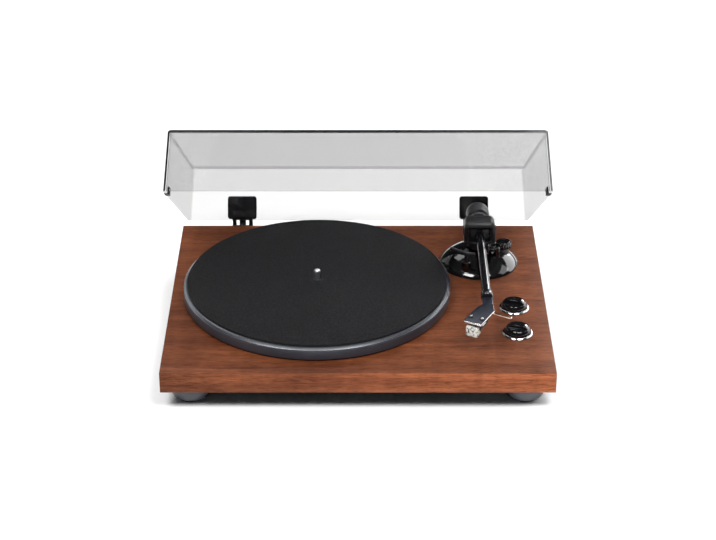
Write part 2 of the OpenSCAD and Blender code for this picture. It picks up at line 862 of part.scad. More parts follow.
module hinge_pins() color("#b5b5ba") at_deck() on_hinges() translate([0, hinge_y, hinge_z])
    rod_x(hinge_pin_r, -hinge_w / 2, hinge_w / 2);

// Screws of the hinge plates and of the jack plate
module rear_screws() color("#77777c") at_deck() {
    on_hinge_screws() translate([0, 0, hinge_plate_t]) small_screw(hinge_plate_t);
    on_panel_screws() translate([0, 0, panel_t]) small_screw(panel_t);
}

// Bright sloping rings round the knobs
module knob_rings() color("#d6d4d2") at_deck() for (front = [speed_front, start_front])
    to_knob(front) rotate_extrude() polygon([
        [knob_ring_in, 0], [ring_r, 0], [ring_r, knob_ring_edge],
        [knob_ring_in + knob_ring_edge, knob_ring_h], [knob_ring_in, knob_ring_h]
    ]);

// Switch bodies under the deck, with a neck up through it for the knob's stem
module rotary_switches() color("#3c3d42") at_deck() for (front = [speed_front, start_front])
    to_knob(front) rotate_extrude() polygon([
        [0, roof_z - switch_h], [switch_r, roof_z - switch_h], [switch_r, roof_z],
        [switch_neck_r, roof_z], [switch_neck_r, 0], [knob_stem_r + run_gap, 0],
        [knob_stem_r + run_gap, roof_z - knob_stem_in - pass_gap], [0, roof_z - knob_stem_in - pass_gap]
    ]);

// Bell-shaped shell with its lift sleeve, anti-skate pedestal and cue bearing
module arm_base() color("#141416") at_deck() difference() {
    union() {
        to_arm() difference() {
            rotate_extrude() polygon(concat([[0, 0], [dome_r, 0]], dome_side(0), [[0, dome_h]]));
            rotate_extrude() polygon(concat(
                [[0, -cut], [dome_r - dome_wall, -cut]], dome_side(dome_wall), [[0, dome_h - dome_wall]]
            ));
        }
        to_lift_post() bore(lift_sleeve_r, lift_foot_z, lift_sleeve_z);
        to_skate() bore(skate_seat_r, dome_h - skate_seat_h, dome_h);
        to_arm() translate([cue_block_x, cue_y - cue_block_d / 2, dome_h - cue_block_root])
            cube([cue_block_w, cue_block_d, cue_block_h + cue_block_root]);
    }
    to_arm() bore(pillar_r + seat_gap, 0, dome_h + cut);
    to_lift_post() bore(lift_post_r + run_gap, 0, lift_sleeve_z + cut);
    to_skate() bore(skate_pin_r + run_gap, dome_h - skate_pin_len - cut, dome_h + cut);
    to_arm() translate([0, cue_y, cue_z])
        rod_x(cue_r + run_gap, cue_block_x - cut, cue_block_x + cue_block_w + cut);
    to_arm() translate([rest_x, rest_y, 0]) bore(rest_post_r + seat_gap, -cut, dome_h);
}

// Post through the deck and the dome, bored for the yoke
module arm_pillar() color("#2b2b2e") at_deck() to_arm() rotate_extrude() polygon([
    [yoke_shaft_r + run_gap, pillar_foot_z], [pillar_stem_r, pillar_foot_z], [pillar_stem_r, 0],
    [pillar_flange_r, 0], [pillar_flange_r, pillar_flange_t], [pillar_r, pillar_flange_t],
    [pillar_r, pillar_top], [yoke_shaft_r + run_gap, pillar_top]
]);

module pillar_nut() color("#a3a3a8") at_deck() to_arm() translate([0, 0, roof_z - nut_h]) difference() {
    cylinder(r = nut_r, h = nut_h, $fn = 6);
    bore(pillar_stem_r + seat_gap, -cut, nut_h + cut);
}

// Shelf under the tube with a horn on its outer side, on a post that stands on the deck
module arm_rest() {
    horn_x = tube_r + horn_gap;
    shelf_x = horn_x + horn_t - rest_w;
    shelf_z = tube_under - rest_t;
    color("#5d6168") at_deck() to_arm() translate([0, rest_y, 0]) union() {
        translate([rest_x, 0, 0]) bore(rest_post_r, 0, tube_under - rest_t / 2);
        translate([shelf_x, -rest_d / 2, shelf_z]) cube([rest_w, rest_d, rest_t]);
        translate([horn_x, -rest_d / 2, shelf_z]) cube([horn_t, rest_d, rest_t + horn_h]);
    }
}

// Dished disc with a heavy rim, a drive ring below and two windows to reach the pulley
module platter() color("#35343c") at_deck() to_platter() difference() {
    rotate_extrude() polygon([
        [seat_r + seat_gap, hub_z], [hub_r, hub_z], [hub_r, web_z],
        [drive_r - drive_wall, web_z], [drive_r - drive_wall, drive_z], [drive_r, drive_z],
        [drive_r, web_z], [platter_r - rim_wall, web_z], [platter_r - rim_wall, platter_z],
        [platter_r, platter_z],
        [platter_r, platter_top - rim_bevel], [platter_r - rim_bevel, platter_top],
        [seat_r + seat_gap, platter_top]
    ]);
    for (side = [0, 180]) rotate([0, 0, motor_turn + side]) translate([motor_reach, 0, 0])
        bore(window_r, web_z - cut, platter_top + cut);
}

module platter_mat() color("#2c2c2e") at_deck() to_platter() rotate_extrude() polygon([
    [mat_hole_r, platter_top], [mat_r, platter_top], [mat_r, mat_top - mat_edge],
    [mat_r - mat_edge, mat_top], [mat_hole_r, mat_top]
]);

// Shaft, collar and seat for the platter, and the tip that centres the record
module spindle() {
    tip_z = mat_top + spindle_rise;
    round_h = spindle_r * tip_bulge;
    tip = [
        for (a = [0 : tip_step : 90])
            [spindle_r * cos(a), tip_z - round_h + round_h * sin(a)]
    ];
    color("#c6c6ca") at_deck() to_platter() rotate_extrude() polygon(concat(
        [
            [0, shaft_foot_z], [shaft_r, shaft_foot_z], [shaft_r, collar_z], [collar_r, collar_z],
            [collar_r, hub_z], [seat_r, hub_z], [seat_r, platter_top],
            [shoulder_r, platter_top], [shoulder_r, mat_top], [spindle_r, mat_top]
        ],
        tip
    ));
}

module motor_shaft() color("#c0c0c5") at_deck() to_motor()
    bore(motor_shaft_r, bracket_z - motor_shaft_in, pulley_top);

module motor_pulley() {
    rim = pulley_r + pulley_rim;
    hole = motor_shaft_r + seat_gap;
    color("#b48f52") at_deck() to_motor() rotate_extrude() polygon([
        [hole, pulley_foot], [rim, pulley_foot], [rim, pulley_foot + pulley_flange],
        [pulley_r, pulley_foot + pulley_flange], [pulley_r, pulley_top - pulley_flange],
        [rim, pulley_top - pulley_flange], [rim, pulley_top], [hole, pulley_top]
    ]);
}

// Turret on the pillar with a round-shouldered arch above it, bored for the arm's pins
module arm_yoke() {
    leg_top = arm_rise + yoke_open_up;
    crown = leg_top + yoke_top_t;
    half = yoke_w / 2;
    boss_x = half + yoke_boss_t;
    shoulder = [
        for (a = [0 : yoke_shoulder_step : 90])
            [half - yoke_shoulder_w * (1 - cos(a)), crown - yoke_shoulder_h * (1 - sin(a))]
    ];
    right_side = concat([[half - yoke_leg, yoke_base_z], [half, yoke_base_z]], shoulder);
    left_side = [for (i = [len(right_side) - 1 : -1 : 0]) [-right_side[i].x, right_side[i].y]];
    opening = [[yoke_leg - half, leg_top], [half - yoke_leg, leg_top]];
    color("#29292d") at_deck() to_arm() difference() {
        union() {
            bore(yoke_shaft_r, roof_z, yoke_foot_z + cut);
            bore(yoke_turret_r, yoke_foot_z, yoke_base_z + yoke_base_t);
            translate([-half, -yoke_d / 2, yoke_base_z]) cube([yoke_w, yoke_d, yoke_base_t]);
            slab_y(yoke_d) polygon(concat(right_side, left_side, opening));
            translate([0, 0, arm_rise]) {
                rod_x(yoke_boss_r, -boss_x, cut - half);
                rod_x(yoke_boss_r, half - cut, boss_x);
            }
        }
        translate([0, 0, arm_rise]) rod_x(pin_r + run_gap, -boss_x - cut, boss_x + cut);
    }
}

// Block between the yoke legs, with its two pins and the stub for the counterweight
module arm_block() color("#3a3a3f") at_deck() to_arm_axis() difference() {
    union() {
        translate([-block_w / 2, -block_d / 2, -block_h / 2]) cube([block_w, block_d, block_h]);
        rod_x(pin_r, -yoke_w / 2 - yoke_boss_t, yoke_w / 2 + yoke_boss_t);
        rod_y(stub_r, 0, stub_len);
    }
    rod_y(tube_r + seat_gap, -block_d / 2 - cut, tube_in - block_d / 2);
}

module arm_tube() color("#1e1e21") at_deck() to_arm_axis() difference() {
    rod_y(tube_r, -arm_len, tube_in - block_d / 2);
    rod_y(tube_r - tube_wall, -arm_len - cut, tube_in - block_d / 2 + cut);
}

module counterweight() {
    hole = stub_r + run_gap;
    back = weight_y + weight_len;
    color("#25252a") at_deck() to_arm_axis() rotate([-90, 0, 0]) rotate_extrude() polygon([
        [hole, weight_y - nose_len], [nose_r, weight_y - nose_len], [nose_r, weight_y],
        [weight_r - weight_edge, weight_y], [weight_r, weight_y + weight_edge],
        [weight_r, back - weight_edge], [weight_r - weight_edge, back], [hole, back]
    ]);
}

// Numbered ring that turns on the nose of the counterweight
module force_dial() color("#1c1c1f") at_deck() to_arm_axis() translate([0, weight_y - nose_len, 0])
    rotate([-90, 0, 0]) ring(dial_r, nose_r + run_gap, nose_len - pass_gap);

// Socket on the tube and a flat plate that turns to the offset angle
module headshell() {
    neck_back = -arm_len - socket_end / 2;
    neck_front = neck_straight * neck_len - bend_y;
    edge = shell_w / 2;
    color("#3b3f47") at_deck() to_arm_axis() difference() {
        union() {
            rod_y(socket_r, -arm_len - socket_end, socket_len - arm_len);
            translate([0, 0, shell_under]) linear_extrude(shell_t) polygon([
                [-neck_w / 2, neck_back], [-neck_w / 2, neck_front],
                shell_point(-waist_u * shell_w, waist_v),
                shell_point(-edge, inner_edge_v), shell_point(-edge, shell_len),
                shell_point(edge, shell_len), shell_point(edge, outer_edge_v),
                [neck_w / 2, neck_front], [neck_w / 2, neck_back]
            ]);
        }
        rod_y(tube_r + seat_gap, -arm_len, socket_len - arm_len + cut);
        for (side = [-1, 1]) translate(shell_point(side * screw_gap / 2, shell_screw_v))
            bore(shell_shank + seat_gap, shell_under - cut, shell_top + cut);
    }
}

module headshell_screws() color("#d8d8dc") at_deck() to_shell() for (side = [-1, 1])
    translate([side * screw_gap / 2, -shell_screw_v, shell_top])
        screw(shell_shank, shell_t + shell_bite, shell_head, shell_head_h);

// Thin straight strip under the plate that runs out to the side, with its tip turned up
module finger_lift() {
    thick = 1.2;
    wide = 3;
    along = 8;
    tuck = 6;
    tip = 3;
    inner = shell_w / 2 - tuck;
    end = shell_w / 2 + 21;
    under = shell_under - thick;
    color("#b59a86") at_deck() to_shell() translate([0, wide / 2 - along, 0]) rotate([90, 0, 0])
        linear_extrude(wide) polygon([
            [inner, under], [end - tip, under], [end, shell_under], [end - thick, shell_under + thick],
            [end - tip - thick / 2, shell_under], [inner, shell_under]
        ]);
}

// Body under the headshell, drilled for the two screws
module cartridge() color("#17171a") at_deck() to_shell() difference() {
    union() {
        translate([-cart_w / 2, -cart_front, cart_under])
            cube([cart_w, cart_front - cart_back, cart_h]);
        translate([-cart_ear_w / 2, -shell_screw_v - cart_ear_d / 2, shell_under - cart_ear_h])
            cube([cart_ear_w, cart_ear_d, cart_ear_h]);
    }
    for (side = [-1, 1]) translate([side * screw_gap / 2, -shell_screw_v, 0])
        bore(shell_shank + seat_gap, shell_under - shell_bite - cut, shell_under + cut);
}

// Grip, cantilever and tip
module stylus() {
    rod = 0.5;
    root = [0, -grip_front + 2, cart_under - grip_h / 2];
    tip = [0, -tip_v, cart_under - tip_drop];
    run = tip - root;
    color("#8c2f2a") at_deck() to_shell() union() {
        translate([-grip_w / 2, -grip_front, cart_under - grip_h])
            cube([grip_w, grip_front - grip_back, grip_h]);
        translate(root) rotate([atan2(-run.y, run.z), 0, 0]) cylinder(r = rod, h = norm(run));
        translate(tip) cylinder(r1 = rod / 3, r2 = rod, h = 3 * rod);
    }
}

// Pale cover over the tip, open at the back, that slides off forwards
module stylus_guard() {
    inner = grip_w / 2 + guard_gap;
    top = cart_under - guard_gap;
    low = cart_under - tip_drop - guard_room;
    hood_back = max(cart_front, grip_front) + guard_gap;
    color("#e9e2cf") at_deck() to_shell() difference() {
        union() {
            translate([-inner - guard_t, -guard_front, low - guard_t])
                cube([2 * (inner + guard_t), guard_front - guard_back, top - low + guard_t]);
            translate([-hood_w / 2, -guard_front, low - guard_t])
                cube([hood_w, guard_front - hood_back, hood_top - low + guard_t]);
        }
        translate([-inner, -guard_front + guard_t, low])
            cube([2 * inner, guard_front - guard_back, top - low]);
    }
}

// Curved bar under the tube, on a post that slides in the dome's sleeve
module lift_platform() {
    inner = lift_arc_r - lift_arc_w / 2;
    outer = lift_arc_r + lift_arc_w / 2;
    steps = 12;
    from = -90 - lift_to;
    to = -90 - lift_from;
    bar_z = tube_under - lift_t;
    color("#202024") at_deck() union() {
        to_arm() translate([0, 0, bar_z]) linear_extrude(lift_t) polygon(concat(
            arc(0, 0, outer, from, to, steps), arc(0, 0, inner, to, from, steps)
        ));
        to_lift_post() bore(lift_post_r, lift_foot_z, bar_z + lift_t);
        to_lift_post() translate([-lift_post_r, lift_post_at - lift_arc_r, bar_z])
            cube([2 * lift_post_r, lift_arc_r - lift_post_at, lift_t]);
    }
}

// Finger paddle beside the tube, with a cross shaft that runs in the dome's bearing block
module cue_lever() color("#1a1a1d") at_deck() to_arm() translate([0, cue_y, cue_z]) union() {
    rod_x(cue_r, cue_x + cut, cue_block_x + cue_block_w);
    rod_x(paddle_hub_r, cue_x, cue_x + paddle_w);
    translate([cue_x, 0, 0]) rotate([-paddle_tilt, 0, 0])
        translate([0, -paddle_len, -paddle_t / 2]) cube([paddle_w, paddle_len, paddle_t]);
}

// Domed knob with a grip bar left standing between two flats, and a stem into its switch
module knob(front) {
    dome = arc(knob_r - knob_round, knob_h - knob_round, knob_round, 0, 90, corner_steps);
    color("#0f0f11") at_deck() to_knob(front) union() {
        difference() {
            rotate_extrude() polygon(concat([[0, knob_foot], [knob_r, knob_foot]], dome, [[0, knob_h]]));
            for (side = [0, 180]) rotate([0, 0, knob_turn + side])
                translate([-knob_r, grip_bar_w / 2, knob_h - grip_bar_cut]) cube([2 * knob_r, knob_r, knob_h]);
        }
        bore(knob_stem_r, roof_z - knob_stem_in, knob_foot + cut);
    }
}
module speed_knob() knob(speed_front);
module start_knob() knob(start_front);

// Fluted knob on a pin in the dome
module anti_skate_knob() color("#101012") at_deck() to_skate() {
    flute = 0.7;
    foot = dome_h + pass_gap;
    difference() {
        union() {
            bore(skate_r, foot, foot + skate_h);
            bore(skate_pin_r, dome_h - skate_pin_len, foot + cut);
        }
        for (i = [0 : skate_flutes - 1]) rotate([0, 0, i * 360 / skate_flutes])
            translate([skate_r + flute / 2, 0, 0]) bore(flute, foot - cut, foot + skate_h + cut);
    }
}

// Clear cover: five thin walls that lean in towards the top
module dust_cover() {
    roof = lid_h - lid_wall;
    inner_rim = [lid_inner(lid_w, -cut), lid_inner(lid_d, -cut)];
    inner_roof = [lid_inner(lid_w, roof), lid_inner(lid_d, roof)];
    taper = [1 - 2 * lid_draft / lid_w, 1 - 2 * lid_draft / lid_d];
    inner_taper = [inner_roof.x / inner_rim.x, inner_roof.y / inner_rim.y];
    color([0.86, 0.88, 0.89, 0.35]) at_deck() to_lid() difference() {
        linear_extrude(lid_h, scale = taper, slices = 1, segments = 0)
            polygon(rounded(lid_w, lid_d, lid_corner));
        translate([0, 0, -cut]) linear_extrude(roof + cut, scale = inner_taper, slices = 1)
            polygon(rounded(inner_rim.x, inner_rim.y, lid_corner - lid_wall / 2));
    }
}

// Moving half of a hinge: a wedge on the back wall, a leg down from it and the knuckle
module hinge_holder(side) {
    top = holder_z + holder_h;
    shoulder = holder_z + leg_shoulder;
    color("#1b1b1d") at_deck() to_lid() translate([side * hinge_x, 0, 0]) difference() {
        union() {
            slab_x(hinge_w) polygon([
                [lid_back(holder_z) + seat_gap, holder_z], [lid_back(holder_z) + holder_t, holder_z],
                [lid_back(top) + holder_t, top], [lid_back(top) + seat_gap, top]
            ]);
            slab_x(knuckle_w) polygon([
                [lid_back(holder_z) + seat_gap, holder_z], [hinge_y - knuckle_r, holder_z - leg_slope],
                [hinge_y - knuckle_r, axis_in_lid], [hinge_y + knuckle_r, axis_in_lid],
                [hinge_y + knuckle_r, -cut], [lid_back(shoulder) + holder_t, shoulder],
                [lid_back(shoulder) + seat_gap, shoulder]
            ]);
            translate([0, hinge_y, axis_in_lid]) rod_x(knuckle_r, -knuckle_w / 2, knuckle_w / 2);
        }
        translate([0, hinge_y, axis_in_lid]) rod_x(hinge_pin_r + hinge_bore_gap, -hinge_w, hinge_w);
    }
}
module hinge_holder_left() hinge_holder(-1);
module hinge_holder_right() hinge_holder(1);

// Soft pads under the side walls at the front, each with a tongue up the inside of the wall
module lid_bumpers() {
    wall_x = lid_inner(lid_w, 0) / 2 - seat_gap;
    lean = lid_draft * bumper_post_h / lid_h;
    color("#161618") at_deck() to_lid() translate([0, bumper_back - lid_d / 2, 0])
        for (side = [0, 1]) mirror([side, 0, 0]) slab_y(bumper_d) polygon([
            [wall_x - bumper_post_w, -bumper_t], [wall_x - bumper_post_w + bumper_w, -bumper_t],
            [wall_x - bumper_post_w + bumper_w, 0], [wall_x, 0], [wall_x - lean, bumper_post_h],
            [wall_x - bumper_post_w - lean, bumper_post_h]
        ]);
}

plinth_board();
bottom_cover();
cover_screws();
foot_front_left();
foot_front_right();
foot_rear_left();
foot_rear_right();
foot_pads();
foot_screws();
bearing_housing();
bearing_bush();
thrust_ball();
motor();
motor_bracket();
motor_grommets();
drive_belt();
circuit_board();
board_spacers();
chassis_screws();
jack_plate();
output_jacks();
jack_collar_left();
jack_collar_right();
ground_post();
power_inlet();
hinge_base_left();
hinge_base_right();
hinge_pins();
rear_screws();
knob_rings();
rotary_switches();
arm_base();
arm_pillar();
pillar_nut();
arm_rest();
platter();
platter_mat();
spindle();
motor_shaft();
motor_pulley();
arm_yoke();
arm_block();
arm_tube();
counterweight();
force_dial();
headshell();
headshell_screws();
finger_lift();
cartridge();
stylus();
stylus_guard();
lift_platform();
cue_lever();
speed_knob();
start_knob();
anti_skate_knob();
dust_cover();
hinge_holder_left();
hinge_holder_right();
lid_bumpers();
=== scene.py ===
import bpy
from math import cos, pi, radians, sin
from mathutils import Matrix, Vector


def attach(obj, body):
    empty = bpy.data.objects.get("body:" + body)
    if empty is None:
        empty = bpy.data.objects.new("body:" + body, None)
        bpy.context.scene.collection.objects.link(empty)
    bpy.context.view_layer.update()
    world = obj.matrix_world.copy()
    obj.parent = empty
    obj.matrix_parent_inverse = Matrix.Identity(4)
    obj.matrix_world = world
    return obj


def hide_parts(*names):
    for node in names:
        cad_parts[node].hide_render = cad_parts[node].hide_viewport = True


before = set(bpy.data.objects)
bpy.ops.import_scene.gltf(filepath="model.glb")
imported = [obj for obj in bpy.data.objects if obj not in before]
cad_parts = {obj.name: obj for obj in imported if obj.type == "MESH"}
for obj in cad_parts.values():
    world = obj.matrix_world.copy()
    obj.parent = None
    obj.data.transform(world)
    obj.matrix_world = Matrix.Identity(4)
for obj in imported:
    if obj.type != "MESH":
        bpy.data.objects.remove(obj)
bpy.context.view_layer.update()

# Lengths are millimetres from the middle of the plinth and from its deck. at() gives metres in the part's frame.
MM = 0.001
FRAME_SHIFT = 14.6918
DECK_HEIGHT = 48.0
PLINTH_HALF_WIDTH, PLINTH_HALF_DEPTH, PLINTH_THICK = 210, 170, 24
FOOT_SIDE, FOOT_FRONT = 180, 135
PLATTER = (-46.0, 4.0)
PLATTER_TOP, MAT_TOP = 15.5, 18.5
KNOB_X = 174.0
KNOB_FRONTS = {"speed": 30.0, "start": 85.5}
ARM = (140.0, 79.0)
ARM_RISE = 41.0
ARM_PIVOT = (*ARM, ARM_RISE)
TUBE_UNDER = 34.255
TUBE_END = 157
LIFT_OUT, LIFT_ANGLE = 37, radians(26)
LIFT_POST = (ARM[0] - LIFT_OUT * sin(LIFT_ANGLE), ARM[1] - LIFT_OUT * cos(LIFT_ANGLE))
SKATE = (ARM[0] + 28.5, ARM[1] - 1)
SHELL_TURN = radians(28.0)
SHELL_BEND = 179.4
SHELL_TOP, SHELL_UNDER = 1.2, -1.3
LID_HALF_WIDTH, LID_HALF_DEPTH = 204, 160
LID_FOOT, LID_TOP = 1, 66
LID_OPEN = radians(32.66)
HINGE = (176.0, -9.0)
AXES = {"X": Vector((1, 0, 0)), "Y": Vector((0, 1, 0)), "Z": Vector((0, 0, 1))}


def at(x, y, z):
    return Vector((x * MM, (y - FRAME_SHIFT) * MM, (z + DECK_HEIGHT) * MM))


# Modelling by hand: each helper works on the piece that is taken up

def leave_edit():
    if bpy.context.object is not None and bpy.context.object.mode != "OBJECT":
        bpy.ops.object.mode_set(mode="OBJECT")


def deselect():
    leave_edit()
    bpy.ops.object.select_all(action="DESELECT")


def take(piece):
    deselect()
    bpy.context.view_layer.objects.active = piece
    piece.select_set(True)
    return piece


def edit(piece):
    take(piece)
    bpy.ops.object.mode_set(mode="EDIT")


def label(piece, name):
    piece.name = name
    piece.data.name = name
    return piece


def done(piece, smooth=35):
    """Smooths the shading between faces that meet at less than an angle."""
    take(piece)
    bpy.ops.object.shade_smooth_by_angle(angle=radians(smooth))
    return piece


def settle(piece):
    """Puts the object's place, turn and scale into its mesh."""
    take(piece)
    bpy.ops.object.transform_apply(location=True, rotation=True, scale=True)
    return piece


def draw(name, points):
    """A line of edges, extruded from one point to the next."""
    deselect()
    bpy.ops.mesh.primitive_plane_add(size=MM, location=points[0])
    piece = label(settle(bpy.context.object), name)
    bpy.ops.object.mode_set(mode="EDIT")
    bpy.ops.mesh.select_mode(type="VERT")
    bpy.ops.mesh.select_all(action="SELECT")
    bpy.ops.mesh.merge(type="CENTER")
    for here, there in zip(points, points[1:]):
        bpy.ops.mesh.extrude_region_move(TRANSFORM_OT_translate={"value": there - here})
    bpy.ops.mesh.select_all(action="SELECT")
    return piece


def clean_up():
    """Merges doubles, turns the faces outwards and leaves edit mode."""
    bpy.ops.mesh.select_all(action="SELECT")
    bpy.ops.mesh.remove_doubles(threshold=1e-6)
    bpy.ops.mesh.normals_make_consistent(inside=False)
    leave_edit()


def turn(name, profile, centre, axis="Z", steps=96):
    """A turned piece: profile of (radius, height) in mm, spun round an axis through centre.

    A profile that starts and ends on the axis stays open, and any other is closed to a ring.
    """
    around, out = AXES[axis], AXES["Y" if axis == "X" else "X"]
    middle = at(*centre)
    line = [middle + out * (r * MM) + around * (h * MM) for r, h in profile]
    if max(profile[0][0], profile[-1][0]) > 1e-6:
        line.append(line[0])
    piece = draw(name, line)
    bpy.ops.mesh.spin(steps=steps, angle=2 * pi, center=middle, axis=around)
    clean_up()
    return piece


def round_pin(name, radius, low, high, centre, steps):
    """A plain upright pin, to be joined to another piece."""
    return turn(name, [(0, low), (radius, low), (radius, high), (0, high)], centre, steps=steps)


def slab(name, outline, thickness):
    """A flat outline of points in metres, filled and given its thickness as a vector in mm."""
    piece = draw(name, [Vector(p) for p in outline])
    bpy.ops.mesh.edge_face_add()
    bpy.ops.mesh.extrude_region_move(TRANSFORM_OT_translate={"value": Vector(thickness) * MM})
    clean_up()
    return piece


def block(name, low, high):
    """A block between two corners, in mm from the deck."""
    deselect()
    middle = (Vector(low) + Vector(high)) / 2
    bpy.ops.mesh.primitive_cube_add(size=1, location=at(*middle))
    piece = label(bpy.context.object, name)
    piece.scale = (Vector(high) - Vector(low)) * MM
    return settle(piece)


def modify(piece, kind, **settings):
    """Gives a piece a modifier and applies it."""
    take(piece)
    change = piece.modifiers.new("Change", kind)
    for key, value in settings.items():
        setattr(change, key, value)
    bpy.ops.object.modifier_apply(modifier=change.name)
    return piece


def soften(piece, width, segments=3, angle=30):
    """Rounds every edge sharper than the angle."""
    return modify(piece, "BEVEL", width=width * MM, segments=segments, limit_method="ANGLE",
                  angle_limit=radians(angle), use_clamp_overlap=True)


def combine(piece, other, operation):
    """Adds another piece's shape to a piece (UNION) or takes it out (DIFFERENCE)."""
    modify(piece, "BOOLEAN", operation=operation, solver="EXACT", object=other)
    bpy.data.objects.remove(other)
    return piece


def cut_away(piece, cutter):
    return combine(piece, cutter, "DIFFERENCE")


def join(piece, *others):
    deselect()
    for other in others:
        other.select_set(True)
    piece.select_set(True)
    bpy.context.view_layer.objects.active = piece
    bpy.ops.object.join()
    return piece


def copy_of(piece, name, shift):
    """A copy with its own mesh, moved by a vector in mm."""
    twin = piece.copy()
    twin.data = piece.data.copy()
    label(twin, name)
    bpy.context.scene.collection.objects.link(twin)
    twin.location = Vector(shift) * MM
    return settle(twin)


def select_none(piece, kind):
    """Clears the selection and sets what is selected next: faces or edges."""
    edit(piece)
    bpy.ops.mesh.select_mode(type=kind)
    bpy.ops.mesh.select_all(action="DESELECT")
    leave_edit()


def select_faces(piece, wanted):
    """Selects the faces whose centre and normal pass a test, and leaves the piece in edit mode."""
    select_none(piece, "FACE")
    for face in piece.data.polygons:
        face.select = wanted(face.center, face.normal)
    edit(piece)


def round_edges(piece, wanted, width, segments):
    """Bevels only the edges whose two ends pass a test."""
    select_none(piece, "EDGE")
    points = piece.data.vertices
    for line in piece.data.edges:
        line.select = wanted(*(points[end].co for end in line.vertices))
    edit(piece)
    bpy.ops.mesh.bevel(offset=width * MM, segments=segments)
    leave_edit()


def slice_all(place, normal):
    """Cuts new edges where a plane meets the piece that is in edit mode."""
    bpy.ops.mesh.select_all(action="SELECT")
    bpy.ops.mesh.bisect(plane_co=place, plane_no=normal)


def carry(piece, origin, rotation, place):
    """Turns a piece round an origin and then moves that origin to a place."""
    piece.matrix_world = Matrix.Translation(place) @ rotation @ Matrix.Translation(-origin)
    return settle(piece)


def tilt_with_lid(piece):
    """Swings a piece that was modelled on the closed lid up to the open lid."""
    pivot = at(0, *HINGE)
    return carry(piece, pivot, Matrix.Rotation(-LID_OPEN, 4, "X"), pivot)


def turn_with_shell(piece):
    """Moves a piece that was modelled round the origin of the deck frame to the turned headshell."""
    bend = at(ARM[0], ARM[1] - SHELL_BEND, ARM_RISE)
    return carry(piece, at(0, 0, 0), Matrix.Rotation(-SHELL_TURN, 4, "Z"), bend)


def arc(cx, cy, r, start, end, steps):
    """Points on a circle between two angles in degrees."""
    angles = [radians(start + (end - start) * i / steps) for i in range(steps + 1)]
    return [(cx + r * cos(a), cy + r * sin(a)) for a in angles]


def turned(points, angle):
    """Flat points turned anticlockwise round their origin."""
    cos_a, sin_a = cos(angle), sin(angle)
    return [(u * cos_a - v * sin_a, u * sin_a + v * cos_a) for u, v in points]


# Finishes

def grey(level):
    return (level, level, level)


class Finish:
    """A node material built round one Principled shader."""

    def __init__(self, name, **sockets):
        self.material = bpy.data.materials.new(name)
        self.material.use_nodes = True
        self.tree = self.material.node_tree
        self.shader = self.tree.nodes["Principled BSDF"]
        self.coordinates = self.node("ShaderNodeTexCoord").outputs["Object"]
        for socket, value in sockets.items():
            self.shader.inputs[socket.replace("_", " ")].default_value = value

    def node(self, kind, inputs=None, **settings):
        made = self.tree.nodes.new(kind)
        for key, value in settings.items():
            setattr(made, key, value)
        for socket, value in (inputs or {}).items():
            made.inputs[socket].default_value = value
        return made

    def wire(self, source, target):
        self.tree.links.new(source, target)

    def mapped(self, scale=(1, 1, 1), place=(0, 0, 0)):
        mapping = self.node("ShaderNodeMapping", {"Scale": scale, "Location": place})
        self.wire(self.coordinates, mapping.inputs["Vector"])
        return mapping.outputs["Vector"]

    def noise(self, scale, detail=4.0, rough=0.5, vector=None, warp=0.0):
        shape = {"Scale": scale, "Detail": detail, "Roughness": rough, "Distortion": warp}
        grain = self.node("ShaderNodeTexNoise", shape)
        self.wire(vector or self.coordinates, grain.inputs["Vector"])
        return grain.outputs["Fac"]

    def ramp(self, factor, *stops):
        colours = self.node("ShaderNodeValToRGB")
        set_stops(colours.color_ramp, stops)
        self.wire(factor, colours.inputs["Fac"])
        return colours.outputs["Color"]

    def spread(self, factor, low, high, from_low=0.0, from_high=1.0):
        limits = {"From Min": from_low, "From Max": from_high, "To Min": low, "To Max": high}
        bounds = self.node("ShaderNodeMapRange", limits)
        self.wire(factor, bounds.inputs["Value"])
        return bounds.outputs["Result"]

    def across(self, half_width, left, right):
        """A value that runs from the left side of the part to its right side."""
        split = self.node("ShaderNodeSeparateXYZ")
        self.wire(self.coordinates, split.inputs["Vector"])
        return self.spread(split.outputs["X"], left, right, -half_width * MM, half_width * MM)

    def math(self, operation, first, second):
        sum_node = self.node("ShaderNodeMath", operation=operation)
        for value, socket in zip((first, second), sum_node.inputs):
            self.feed(value, socket)
        return sum_node.outputs["Value"]

    def multiply(self, factor, first, second):
        mixer = self.node("ShaderNodeMix", data_type="RGBA", blend_type="MULTIPLY")
        colour_sockets = [s for s in mixer.inputs if s.type == "RGBA"]
        factor_socket = [s for s in mixer.inputs if s.type == "VALUE"][0]
        for value, socket in zip((factor, first, second), (factor_socket, *colour_sockets)):
            self.feed(value, socket)
        return [s for s in mixer.outputs if s.type == "RGBA"][0]

    def feed(self, value, socket):
        """Sets a number on a socket, or wires another node's socket to it."""
        if isinstance(value, (int, float)):
            socket.default_value = value
        else:
            self.wire(value, socket)

    def colour(self, socket):
        self.wire(socket, self.shader.inputs["Base Color"])

    def roughness(self, socket):
        self.wire(socket, self.shader.inputs["Roughness"])

    def bump(self, height, depth, strength=1.0):
        dent = self.node("ShaderNodeBump", {"Strength": strength, "Distance": depth})
        self.wire(height, dent.inputs["Height"])
        self.wire(dent.outputs["Normal"], self.shader.inputs["Normal"])


def set_stops(band, stops):
    """Fills a colour ramp with (position, colour) stops."""
    while len(band.elements) < len(stops):
        band.elements.new(0.5)
    for element, (position, colour) in zip(band.elements, stops):
        element.position = position
        element.color = (*colour, 1)


